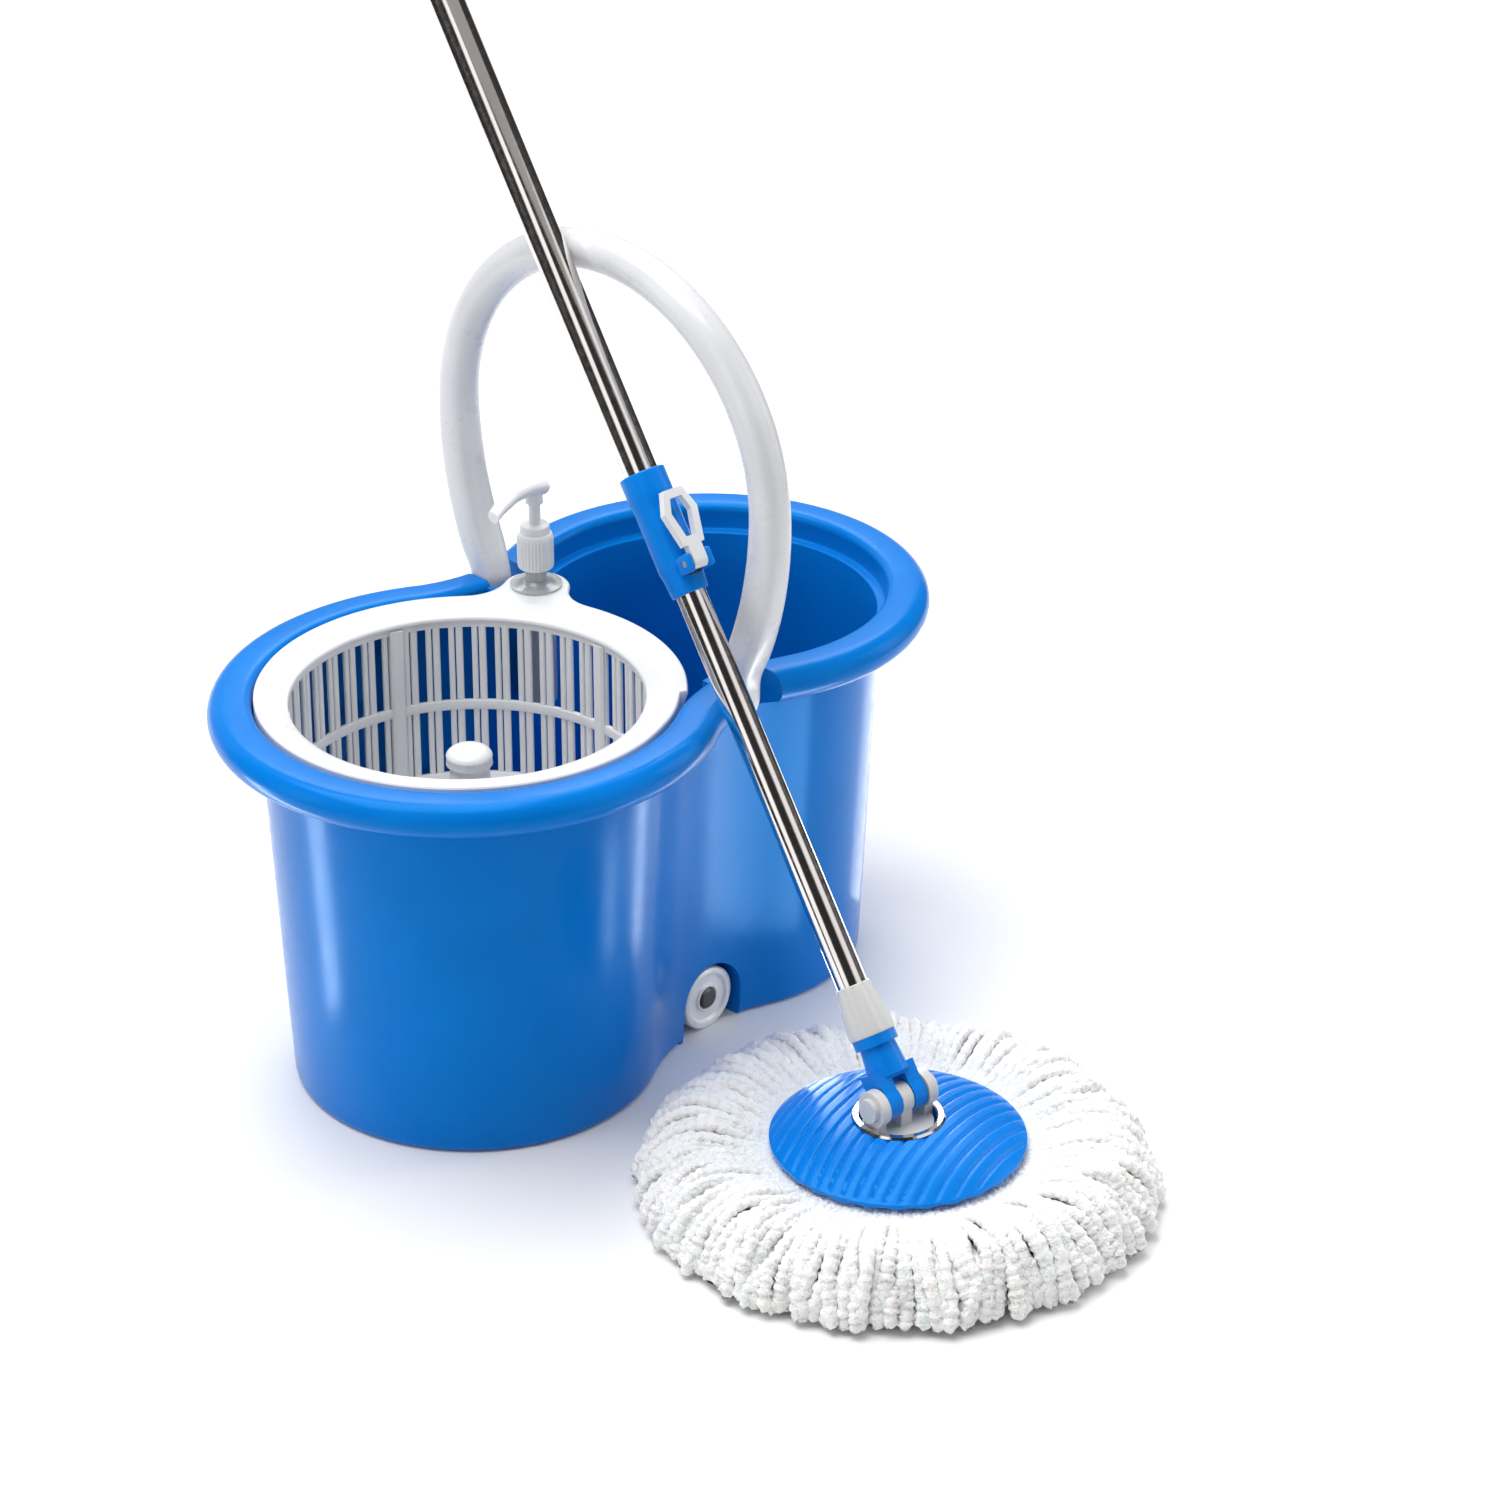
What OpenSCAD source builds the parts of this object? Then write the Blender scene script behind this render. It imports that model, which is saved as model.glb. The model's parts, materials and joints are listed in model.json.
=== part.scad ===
// Spin mop set: a two-lobed bucket with a spinning wringer basket, a soap pump, a carry
// handle and two wheels, and a telescopic mop that leans on the handle.
// Millimetres, +Z up, floor at z = 0, origin on the bucket's base between its two lobes.
// +X runs from the basket lobe to the rinse lobe, -Y is the side the mop stands on.

/* [Bucket] */
// Distance of the basket lobe's centre from the origin
basket_lobe_x = 101; // [90:1:115]
// Distance of the rinse lobe's centre from the origin
rinse_lobe_x = 95; // [85:1:110]
// Outer radius of the rim round the basket lobe
basket_rim_r = 148; // [135:1:160]
// Outer radius of the rim round the rinse lobe
rinse_rim_r = 133; // [120:1:150]
// Radius of the waist's hollow curve, at the rim's outer edge
waist_rim_r = 78; // [60:1:110]
// Height of the rim's crown
rim_z = 244; // [220:1:280]
// Height of the inner ledge that carries the tray
ledge_z = 228; // [200:1:240]
// Width of the rim from its outer edge to its inner edge
rim_width = 25.5; // [20:0.5:32]
// How far the wall's top lies inside the rim's outer edge
wall_top_inset = 29; // [26:0.5:34]
// How far the wall's foot lies inside the rim's outer edge
wall_foot_inset = 40; // [34:0.5:50]
// Thickness of the wall and the rim
wall = 2.4; // [1.8:0.1:4]
// Thickness of the floor
floor_t = 3; // [2:0.5:5]
// Radius of the rolled outer edge of the rim
roll_r = 10.5; // [8:0.5:12]
// X position of the wheels and of the handle's two feet, at the waist
waist_x = 16; // [10:1:22]
// Height of the post that carries the basket's bearing
post_z = 114; // [100:1:140]

/* [Wheels] */
// Radius of each transport wheel
wheel_r = 20; // [16:0.5:24]
// Width of each transport wheel
wheel_w = 12; // [8:0.5:16]
// Distance of each wheel's outer face from the bucket's long axis
wheel_y = 76.5; // [70:0.5:80]
// Height of the wheel axles
axle_z = 20.5; // [17:0.5:26]

/* [Carry handle] */
// Radius of the handle's top arc, at the tube's centre
arch_r = 126; // [115:1:135]
// Height of the top arc's centre
arch_z = 348; // [320:1:370]
// Radius of the handle's tube
handle_r = 12; // [10:0.5:14]
// Radius of each leg's inward curve
leg_curve_r = 230; // [180:5:300]
// Angle each leg's inward curve runs through
leg_angle = 24; // [16:1:28]
// Height of the handle's pivot pins
pivot_z = 232; // [226:1:236]
// Width of each foot inside its notch in the rim
foot_w = 20; // [14:1:24]

/* [Tray and basket] */
// Outer radius of the tray's ring on the ledge
tray_r = 121.3; // [115:0.1:122]
// Outer radius of the tray's free edge, over the waist
tray_free_r = 125.5; // [122:0.5:130]
// Radius of the opening over the basket
opening_r = 101.5; // [95:0.5:106]
// Height of the tray's top face
tray_z = 244.6; // [240:0.1:250]
// Outer radius of the basket's cage
cage_r = 105.5; // [100:0.5:108]
// Height of the underside of the basket
cage_z = 130; // [120:1:160]
// Number of slits round the basket in each row
slits = 36; // [24:4:96]
// Width of each slit
slit_w = 5; // [2:0.1:8]
// Height of the foot of the band between the two rows of slits
band_z = 178; // [160:1:200]

/* [Soap pump] */
// X position of the pump
pump_x = 20; // [14:1:26]
// Y position of the pump
pump_y = 68; // [60:1:74]
// Radius of the tray's ear round the pump
ear_r = 20; // [18:0.5:24]
// Radius of the soap bottle
bottle_r = 11.5; // [9:0.5:13]
// Height of the soap bottle's foot
bottle_z = 168; // [150:1:200]

/* [Mop] */
// X position of the mop's hinge
mop_x = -40; // [-80:1:0]
// Y position of the mop's hinge
mop_y = -278; // [-320:1:-260]
// Height of the mop's hinge pin
hinge_z = 62; // [56:1:70]
// Turn of the mop about the vertical
mop_yaw = 6.4; // [0:0.1:10]
// Lean of the pole towards the handle it rests on
pole_lean = 36.2; // [30:0.1:45]
// Radius of the mop pad
pad_r = 148; // [120:1:160]
// Radius of the domed plate
plate_r = 72.5; // [60:0.5:80]
// Outer radius of the lower tube
lower_r = 8.8; // [7:0.1:10]
// Outer radius of the upper tube
upper_r = 10; // [8:0.1:12]
// Distance from the hinge to the foot of the clamp sleeve
sleeve_s = 305; // [250:5:350]
// Distance from the hinge to the end of the upper tube
pole_s = 1040; // [800:10:1200]

/* [Hidden] */
$fn = 72;
// rest gap between two bodies that move, and radial gap of a running fit
gap = 0.4;
run = 0.05;
// centre of the waist's hollow curve, touching both lobes
lobe_d = basket_lobe_x + rinse_lobe_x;
waist_a = basket_rim_r + waist_rim_r;
waist_b = rinse_rim_r + waist_rim_r;
hollow_dx = (lobe_d * lobe_d + waist_a * waist_a - waist_b * waist_b) / (2 * lobe_d);
hollow_x = hollow_dx - basket_lobe_x;
hollow_y = sqrt(waist_a * waist_a - hollow_dx * hollow_dx);
basket_ang = atan2(hollow_y, hollow_dx);
rinse_ang = atan2(hollow_y, hollow_x - rinse_lobe_x);
waist_y = hollow_y - waist_rim_r;
roll_z = rim_z - roll_r;
// where the leg's curves end, seen from the arch's centre
leg_y = arch_r - leg_curve_r * (1 - cos(leg_angle));
leg_drop = leg_curve_r * sin(leg_angle);
ankle_r = 45;
foot_y = leg_y - ankle_r * (1 - cos(leg_angle));
ankle_z = arch_z - leg_drop - ankle_r * sin(leg_angle);
foot_z = ledge_z - 6;
notch_back = foot_w / 2 + 1;
notch_front = foot_w / 2 + 7.8;
notch_y = waist_y - 27.9;
well_r = wheel_r + 3.5;
well_y = wheel_y - wheel_w - 4.5;
// centre of the fillet between the tray's ear and its free edge
ear_fillet_r = 25;
ear_dx = pump_x + basket_lobe_x;
ear_d = sqrt(ear_dx * ear_dx + pump_y * pump_y);
ear_p = tray_free_r + ear_fillet_r;
ear_q = ear_r + ear_fillet_r;
ear_along = (ear_p * ear_p - ear_q * ear_q + ear_d * ear_d) / (2 * ear_d);
ear_across = sqrt(ear_p * ear_p - ear_along * ear_along);
ear_fx = -basket_lobe_x + (ear_along * ear_dx + ear_across * pump_y) / ear_d;
ear_fy = (ear_along * pump_y - ear_across * ear_dx) / ear_d;
collar_z = 257;
head_z = 298;
pump_stroke = 12;
sleeve_e = sleeve_s + 73;
lever_s = sleeve_s + 15;
lever_y = -17.5;

blue = [0.05, 0.47, 0.84];
white = [0.93, 0.94, 0.95];
grey = [0.72, 0.73, 0.74];
dark = [0.1, 0.1, 0.11];
clear = [0.8, 0.86, 0.9, 0.5];
steel = [0.75, 0.76, 0.78];

function arc(x, y, r, a0, a1, n) =
    [for (i = [0 : n]) [x + r * cos(a0 + (a1 - a0) * i / n), y + r * sin(a0 + (a1 - a0) * i / n)]];

// the wall and rim in section, x measured outward from the rim's outer edge, thinned by e a side
function shell_section(e) = concat(
    [[e - wall_foot_inset - wall, e], [-wall_foot_inset - e, e]],
    [[-wall_top_inset - e, ledge_z - wall + e], [wall - rim_width - e, ledge_z - wall + e]],
    arc(4 - rim_width, rim_z - 4, 4 - wall + e, 180, 90, 1),
    arc(-roll_r, roll_z, roll_r - wall + e, 90, -50, 4),
    arc(-roll_r, roll_z, roll_r - e, -50, 90, 7),
    arc(4 - rim_width, rim_z - 4, 4 - e, 90, 180, 2),
    [[e - rim_width, ledge_z - e], [e - wall_top_inset - wall, ledge_z - e]]);

// the same rim filled in, for the webs that close the notches
function web_section() = concat(
    [[-wall_top_inset - 1, 214], [-wall_top_inset + 2, 214]],
    arc(-roll_r, roll_z, roll_r - 0.4, -50, 90, 7),
    [[-rim_width + 1, rim_z - 1.2], [-rim_width + 1, ledge_z - 1], [-wall_top_inset - 1, ledge_z - 1]]);

// plan of the bucket, each curve two degrees short at its ends so that no corner repeats
function outline(inset) = concat(
    arc(-basket_lobe_x, 0, basket_rim_r - inset, basket_ang + 2, 358 - basket_ang, 60),
    arc(hollow_x, -hollow_y, waist_rim_r + inset, 178 - basket_ang, 182 - rinse_ang, 16),
    arc(rinse_lobe_x, 0, rinse_rim_r - inset, 2 - rinse_ang, rinse_ang - 2, 60),
    arc(hollow_x, hollow_y, waist_rim_r + inset, rinse_ang + 178, basket_ang + 182, 16));

module basket_axis() {
    translate([-basket_lobe_x, 0, 0])
        children();
}

module both_sides() {
    for (side = [0, 1])
        mirror([0, side, 0])
            children();
}

// section swept round one hollow of the waist, on the +Y side, its ends just inside the lobes
module waist_sweep(section) {
    translate([hollow_x, hollow_y, 0])
        rotate([0, 0, basket_ang + 179.5])
            rotate_extrude(angle = rinse_ang - basket_ang + 1, $fn = 90)
                polygon([for (p = section) [waist_rim_r - p[0], p[1]]]);
}

module bucket_wall() {
    basket_axis()
        rotate([0, 0, basket_ang])
            rotate_extrude(angle = 360 - 2 * basket_ang, $fn = 90)
                polygon([for (p = shell_section(0)) [basket_rim_r + p[0], p[1]]]);
    translate([rinse_lobe_x, 0, 0])
        rotate([0, 0, -rinse_ang])
            rotate_extrude(angle = 2 * rinse_ang, $fn = 90)
                polygon([for (p = shell_section(0)) [rinse_rim_r + p[0], p[1]]]);
    both_sides()
        waist_sweep(shell_section(0.03));
}

// boxed housing inside the wall round one wheel, on the +Y side
module well_housing() {
    difference() {
        union() {
            translate([waist_x, well_y - wall, axle_z])
                rotate([-90, 0, 0])
                    cylinder(r = well_r + wall, h = 30);
            translate([waist_x - well_r - wall, well_y - wall, 0])
                cube([2 * (well_r + wall), 30, axle_z]);
        }
        translate([hollow_x, hollow_y, -1])
            cylinder(r1 = waist_rim_r + wall_foot_inset + 1.25,
                     r2 = waist_rim_r + wall_foot_inset + 1.25 - 60 * 11 / 225.6, h = 60);
        translate([waist_x - 40, 0, -20])
            cube([80, 120, 20]);
    }
}

module well_cavity() {
    translate([waist_x, well_y, axle_z])
        rotate([-90, 0, 0])
            cylinder(r = well_r, h = 40);
    translate([waist_x - well_r, well_y, -1])
        cube([2 * well_r, 40, axle_z + 1]);
    translate([waist_x, well_y - 2 * wall, axle_z])
        rotate([-90, 0, 0])
            cylinder(r = 3, h = 3 * wall);
}

// inner wall and two closing webs of one handle notch, on the +Y side
module notch_walls() {
    translate([waist_x - notch_back - wall, notch_y - wall - 1.2, ledge_z - 8])
        cube([notch_back + notch_front + 2 * wall, wall + 1.2, rim_z - 3.2 - ledge_z + 8]);
    intersection() {
        waist_sweep(web_section());
        union() {
            translate([waist_x - notch_back - wall, notch_y - 4, 210])
                cube([wall, 60, 50]);
            translate([waist_x + notch_front, notch_y - 4, 210])
                cube([wall, 60, 50]);
        }
    }
}

module notch_cut() {
    translate([waist_x - notch_back, notch_y, ledge_z - 7])
        cube([notch_back + notch_front, 60, 40]);
    translate([waist_x, notch_y - 8, pivot_z])
        rotate([-90, 0, 0])
            cylinder(r = 4, h = 20);
}

module bucket_shell() {
    color(blue)
        difference() {
            union() {
                bucket_wall();
                linear_extrude(floor_t)
                    polygon(outline(wall_foot_inset + wall / 2));
                basket_axis()
                    rotate_extrude()
                        polygon([[9, 1], [27, 1], [21, 10], [15, post_z], [9, post_z]]);
                both_sides() {
                    well_housing();
                    notch_walls();
                }
            }
            both_sides() {
                well_cavity();
                notch_cut();
            }
        }
}

module bearing_cup() {
    color(grey)
        basket_axis()
            rotate_extrude()
                polygon([[0, post_z - 16], [9, post_z - 16], [9, post_z], [13, post_z],
                         [13, post_z + 3], [4 + run, post_z + 3], [4 + run, post_z - 12.5],
                         [0, post_z - 12.5]]);
}

// pivot pin with its head on the inside of the bucket, on the +Y side
module handle_pin() {
    translate([waist_x, notch_y - wall - 1.2 - 2.5, pivot_z])
        rotate([-90, 0, 0]) {
            cylinder(r = 7, h = 2.5);
            cylinder(r = 4, h = 22);
        }
}

module handle_pin_back() {
    color(white)
        handle_pin();
}

module handle_pin_front() {
    color(white)
        mirror([0, 1, 0])
            handle_pin();
}

module wheel() {
    translate([waist_x, wheel_y, axle_z])
        rotate([90, 0, 0])
            rotate_extrude()
                polygon([[3 + run, 2.4], [8.5, 2.4], [8.5, 0.4], [wheel_r - 3.5, 0],
                         [wheel_r - 1.2, 0.6], [wheel_r, 2.4], [wheel_r, wheel_w - 2],
                         [wheel_r - 1.6, wheel_w], [3 + run, wheel_w]]);
}

module wheel_back() {
    color(white)
        wheel();
}

module wheel_front() {
    color(white)
        mirror([0, 1, 0])
            wheel();
}

module wheel_axle() {
    translate([waist_x, wheel_y, axle_z])
        rotate([90, 0, 0])
            rotate_extrude()
                polygon([[0, -0.8], [5.4, -0.8], [6.6, 0.4], [6.6, 2], [3, 2],
                         [3, wheel_y - well_y + wall], [0, wheel_y - well_y + wall]]);
}

module wheel_axle_back() {
    color(dark)
        wheel_axle();
}

module wheel_axle_front() {
    color(dark)
        mirror([0, 1, 0])
            wheel_axle();
}

// frame of the handle's plane: x is the row's Y, y is the row's Z above the arc's centre
module arch_plane() {
    translate([waist_x, 0, arch_z])
        rotate([90, 0, 90])
            children();
}

// one leg: each length of tube steps in a little and starts just inside the one above it
module handle_leg() {
    translate([arch_r - leg_curve_r, 0, 0])
        rotate([0, 0, -leg_angle])
            rotate_extrude(angle = leg_angle + 0.3, $fn = 96)
                translate([leg_curve_r, 0])
                    circle(r = handle_r - 0.05, $fn = 32);
    translate([foot_y + ankle_r, ankle_z - arch_z, 0])
        rotate([0, 0, 179 - leg_angle])
            rotate_extrude(angle = leg_angle + 1, $fn = 96)
                translate([ankle_r, 0])
                    circle(r = handle_r - 0.1, $fn = 32);
    translate([foot_y, foot_z - arch_z, 0])
        rotate([-90, 0, 0])
            cylinder(r = handle_r - 0.15, h = ankle_z + 1 - foot_z, $fn = 32);
}

// what is cut off below the pin, so that the foot turns in its notch
module foot_corners() {
    difference() {
        translate([waist_x - 20, 70, foot_z - 2])
            cube([40, 60, pivot_z - foot_z + 2]);
        translate([waist_x, 60, pivot_z])
            rotate([-90, 0, 0])
                cylinder(r = foot_w / 2 + 0.3, h = 80);
    }
}

module handle_arch() {
    color(white)
        difference() {
            arch_plane() {
                rotate_extrude(angle = 180, $fn = 120)
                    translate([arch_r, 0])
                        circle(r = handle_r, $fn = 32);
                handle_leg();
                mirror([1, 0, 0])
                    handle_leg();
            }
            both_sides() {
                translate([waist_x + foot_w / 2, 60, foot_z - 1])
                    cube([20, 80, rim_z + 2.5 - foot_z + 1]);
                translate([waist_x - foot_w / 2 - 20, 60, foot_z - 1])
                    cube([20, 80, rim_z + 2.5 - foot_z + 1]);
                translate([waist_x, 60, pivot_z])
                    rotate([-90, 0, 0])
                        cylinder(r = 4 + run, h = notch_y - 60 + 20);
                foot_corners();
            }
        }
}

// wedge of the tray over the waist, between the ledge's two ends
module tray_free_edge() {
    basket_axis()
        rotate([0, 0, -48])
            rotate_extrude(angle = 84, $fn = 120)
                polygon([[opening_r + 4, tray_z - 2.8], [tray_free_r, tray_z - 2.8],
                         [tray_free_r, tray_z - 0.6], [tray_free_r - 0.6, tray_z],
                         [opening_r + 4, tray_z]]);
}

module tray_ear() {
    translate([pump_x, pump_y, tray_z - 2.8])
        cylinder(r = ear_r, h = 2.8);
    translate([-35, pump_y, tray_z - 2.8])
        cube([pump_x + 35, ear_r, 2.8]);
    difference() {
        translate([0, 0, tray_z - 2.8])
            linear_extrude(2.8)
                polygon([[10, 30], [-20, pump_y], [pump_x, pump_y], [ear_fx, ear_fy]]);
        translate([ear_fx, ear_fy, tray_z - 5])
            cylinder(r = ear_fillet_r, h = 8);
    }
}

module tray_boss() {
    translate([(cage_r + 10.5), 0, tray_z - 10.5])
        difference() {
            cylinder(r = 3, h = 8, $fn = 32);
            translate([0, 0, -1])
                cylinder(r = 1.2, h = 6.5, $fn = 24);
        }
}

module splash_tray() {
    color(white)
        difference() {
            union() {
                basket_axis()
                    rotate_extrude($fn = 120)
                        polygon([[opening_r, tray_z - 8], [opening_r, tray_z - 1],
                                 [opening_r + 1, tray_z], [tray_r - 1.5, tray_z],
                                 [tray_r, tray_z - 1.5], [tray_r, ledge_z + gap],
                                 [tray_r - 2, ledge_z + gap], [tray_r - 2, tray_z - 2.8],
                                 [opening_r + 2, tray_z - 2.8], [opening_r + 2, tray_z - 8]]);
                tray_free_edge();
                tray_ear();
                basket_axis()
                    for (a = [30 : 90 : 300])
                        rotate([0, 0, a])
                            tray_boss();
            }
            translate([pump_x, pump_y, tray_z - 10])
                cylinder(r = bottle_r, h = 12);
            // the skirt is cut short over the waist, where no ledge carries it
            basket_axis()
                rotate([0, 0, -60])
                    rotate_extrude(angle = 120, $fn = 120)
                        polygon([[tray_r - 4, ledge_z - 2], [tray_r + 4, ledge_z - 2],
                                 [tray_r + 4, tray_z - 7], [tray_r - 4, tray_z - 7]]);
        }
}

module retaining_ring() {
    color(white)
        basket_axis()
            difference() {
                rotate_extrude($fn = 120)
                    polygon([[cage_r + 1.5, tray_z - 12.5], [cage_r + 13, tray_z - 12.5],
                             [cage_r + 13, tray_z - 10.5], [cage_r + 1.5, tray_z - 10.5]]);
                for (a = [30 : 90 : 300])
                    rotate([0, 0, a])
                        translate([cage_r + 10.5, 0, tray_z - 14])
                            cylinder(r = 1.2, h = 6, $fn = 24);
            }
}

module tray_screw(a) {
    color(steel)
        basket_axis()
            rotate([0, 0, a])
                translate([cage_r + 10.5, 0, tray_z - 14])
                    union() {
                        cylinder(r = 2.6, h = 1.5, $fn = 24);
                        cylinder(r = 1.2, h = 8, $fn = 24);
                    }
}

module tray_screw_a() {
    tray_screw(30);
}

module tray_screw_b() {
    tray_screw(120);
}

module tray_screw_c() {
    tray_screw(210);
}

module tray_screw_d() {
    tray_screw(300);
}

// cage wall between two heights, cut into slits
module cage_row(z0, z1) {
    difference() {
        translate([0, 0, z0 - 3])
            difference() {
                cylinder(r = cage_r, h = z1 - z0 + 6, $fn = 120);
                translate([0, 0, -1])
                    cylinder(r = cage_r - 2, h = z1 - z0 + 8, $fn = 120);
            }
        for (i = [0 : slits / 2 - 1])
            rotate([0, 0, i * 360 / slits])
                translate([-cage_r - 2, -slit_w / 2, z0])
                    cube([2 * cage_r + 4, slit_w, z1 - z0]);
    }
}

module cage_floor() {
    difference() {
        rotate_extrude($fn = 120)
            polygon([[4, cage_z], [cage_r, cage_z], [cage_r, cage_z + 5], [cage_r - 2, cage_z + 5],
                     [cage_r - 2, cage_z + 2.4], [26, cage_z + 2.4], [16, cage_z + 12],
                     [10.5, 196], [4, 196]]);
        for (i = [0 : 9])
            rotate([0, 0, i * 36])
                for (r = [48, 76])
                    translate([r, 0, cage_z - 1])
                        cylinder(r = r / 11, h = 5, $fn = 20);
    }
}

module basket_cage() {
    color(white)
        basket_axis() {
            cage_row(cage_z + 6, band_z);
            cage_row(band_z + 6, tray_z - 13);
            rotate_extrude($fn = 120)
                polygon([[cage_r - 2, tray_z - 13], [cage_r, tray_z - 13], [cage_r, tray_z - 9.3],
                         [cage_r + 6, tray_z - 9.3], [cage_r + 6, tray_z - 7.5],
                         [cage_r - 2, tray_z - 7.5]]);
            cage_floor();
        }
}

module basket_hub() {
    color(white)
        basket_axis()
            rotate_extrude()
                polygon([[0, 196], [13.5, 196], [13.5, 202], [11.5, 205], [7, 206.5], [0, 207]]);
}

module spindle_pin() {
    color(steel)
        basket_axis()
            rotate_extrude()
                polygon([[0, post_z - 12], [3, post_z - 12], [4, post_z - 11], [4, 190], [0, 190]]);
}

module pump_axis() {
    translate([pump_x, pump_y, 0])
        children();
}

module soap_bottle() {
    color(clear)
        pump_axis()
            rotate_extrude()
                polygon([[0, bottle_z], [bottle_r - 1.5, bottle_z], [bottle_r, bottle_z + 2],
                         [bottle_r, tray_z], [15.5, tray_z], [15.5, tray_z + 1.6],
                         [8, tray_z + 2.4], [6.4, tray_z + 4], [6.4, collar_z + 8],
                         [5.2, collar_z + 8], [5.2, tray_z + 1], [bottle_r - 1.2, tray_z - 6],
                         [bottle_r - 1.2, bottle_z + 1.6], [0, bottle_z + 1.6]]);
}

module pump_collar() {
    color(white)
        pump_axis()
            rotate_extrude()
                polygon([[6.4, collar_z], [10.4, collar_z], [10.9, collar_z + 1],
                         [10.9, collar_z + 20], [10, collar_z + 22], [8.8, collar_z + 22.4],
                         [8.8, collar_z + 27], [8, collar_z + 28], [3.5 + run, collar_z + 28],
                         [3.5 + run, collar_z + 9.5], [6.4, collar_z + 9.5]]);
}

module pump_housing() {
    color(white)
        pump_axis()
            rotate_extrude()
                polygon([[2.4, 216], [5, 216], [5, collar_z + 8], [6.4, collar_z + 8],
                         [6.4, collar_z + 9.5], [4.1, collar_z + 9.5], [4.1, 218], [2.4, 218]]);
}

module dip_tube() {
    color(clear)
        pump_axis()
            translate([0, 0, bottle_z + 5])
                difference() {
                    cylinder(r = 2.4, h = 50, $fn = 32);
                    translate([0, 0, -1])
                        cylinder(r = 1.6, h = 52, $fn = 32);
                }
}

module pump_spring() {
    color(steel)
        pump_axis()
            for (i = [0 : 4])
                translate([0, 0, 225 + 4.2 * i])
                    rotate_extrude($fn = 36)
                        translate([3.1, 0])
                            circle(r = 0.45, $fn = 16);
}

module pump_stem() {
    color(white)
        pump_axis()
            translate([0, 0, 248])
                cylinder(r = 3.5, h = head_z + 3 - 248, $fn = 36);
}

module pump_piston() {
    color(grey)
        pump_axis()
            translate([0, 0, 244])
                cylinder(r = 4.1 - run, h = 4, $fn = 36);
}

module pump_head() {
    color(white)
        pump_axis()
            difference() {
                union() {
                    translate([0, 0, head_z])
                        cylinder(r = 5.4, h = 12);
                    translate([4, 0, head_z + 13])
                        rotate([0, -103, 0])
                            cylinder(r1 = 6, r2 = 3.6, h = 38);
                    translate([-31, 0, head_z - 0.5])
                        cylinder(r = 2.6, h = 6);
                }
                translate([0, 0, head_z - 1])
                    cylinder(r = 3.5, h = 4, $fn = 36);
                translate([-40, -10, head_z + 17])
                    cube([60, 20, 10]);
            }
}

// frame of the mop's head: the hinge pin is the origin and x runs along it
module mop_frame() {
    translate([mop_x, mop_y, hinge_z])
        rotate([0, 0, -mop_yaw])
            children();
}

// the same frame leaned with the pole, z along the pole
module pole_frame() {
    mop_frame()
        rotate([-pole_lean, 0, 0])
            children();
}

module mop_pad() {
    color(white)
        mop_frame()
            translate([0, 0, -hinge_z])
                rotate_extrude($fn = 120)
                    polygon([[34, 1], [pad_r - 6, 0.5], [pad_r, 6], [pad_r - 1, 20],
                             [pad_r - 9, 32], [pad_r - 28, 40], [plate_r + 14, 42],
                             [plate_r + 3, 38], [plate_r + 1.5, 34], [plate_r - 4, 33],
                             [68, 26], [34, 26]]);
}

module pad_ring() {
    color(white)
        mop_frame()
            translate([0, 0, -hinge_z])
                rotate_extrude($fn = 96)
                    polygon([[34, 26], [68, 26], [67, 30.5], [34, 30.5]]);
}

module mop_plate() {
    color(blue)
        mop_frame()
            translate([0, 0, -hinge_z])
                rotate_extrude($fn = 96)
                    polygon([[8 + run, 38], [30, 38], [34, 30.5], [60, 30.5], [60, 33.5],
                             [plate_r - 3, 34], [plate_r, 35.5], [plate_r, 38], [66, 43],
                             [48, 48], [28, 50.6], [22, 50.6], [22, 41], [8 + run, 41]]);
}

module trim_ring() {
    color(steel)
        mop_frame()
            translate([0, 0, -hinge_z])
                rotate_extrude()
                    polygon([[22, 50.6], [26.5, 50.6], [25.5, 51.8], [22.6, 51.8], [22, 51.2]]);
}

module lug(x0, x1, r) {
    translate([x0, 0, 0])
        rotate([0, 90, 0])
            cylinder(r = r, h = x1 - x0, $fn = 48);
}

module hinge_base() {
    color(grey)
        mop_frame()
            difference() {
                union() {
                    translate([0, 0, 41.3 - hinge_z])
                        cylinder(r = 20, h = 6.5);
                    for (x = [-20.5, 14.5]) {
                        lug(x, x + 6, 10.5);
                        translate([x, -6, 46 - hinge_z])
                            cube([6, 12, hinge_z - 46]);
                    }
                    lug(-4, 4, 9);
                    translate([-4, -7, 46 - hinge_z])
                        cube([8, 14, hinge_z - 46]);
                }
                lug(-30, 30, 3.2);
                translate([0, 0, 40 - hinge_z])
                    cylinder(r = 8, h = 6);
            }
}

module swivel_axle() {
    color(steel)
        mop_frame()
            translate([0, 0, -hinge_z])
                union() {
                    translate([0, 0, 32.5])
                        cylinder(r = 8, h = 13.5);
                    translate([0, 0, 32.5])
                        cylinder(r = 13, h = 5);
                }
}

module hinge_pin() {
    color(steel)
        mop_frame()
            lug(-22.5, 22.5, 3.2);
}

module pin_cap_left() {
    color(grey)
        mop_frame()
            difference() {
                lug(-23.5, -20.5, 7);
                lug(-22.5, 0, 3.2);
            }
}

module pin_cap_right() {
    color(grey)
        mop_frame()
            difference() {
                lug(20.5, 23.5, 7);
                lug(0, 22.5, 3.2);
            }
}

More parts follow.
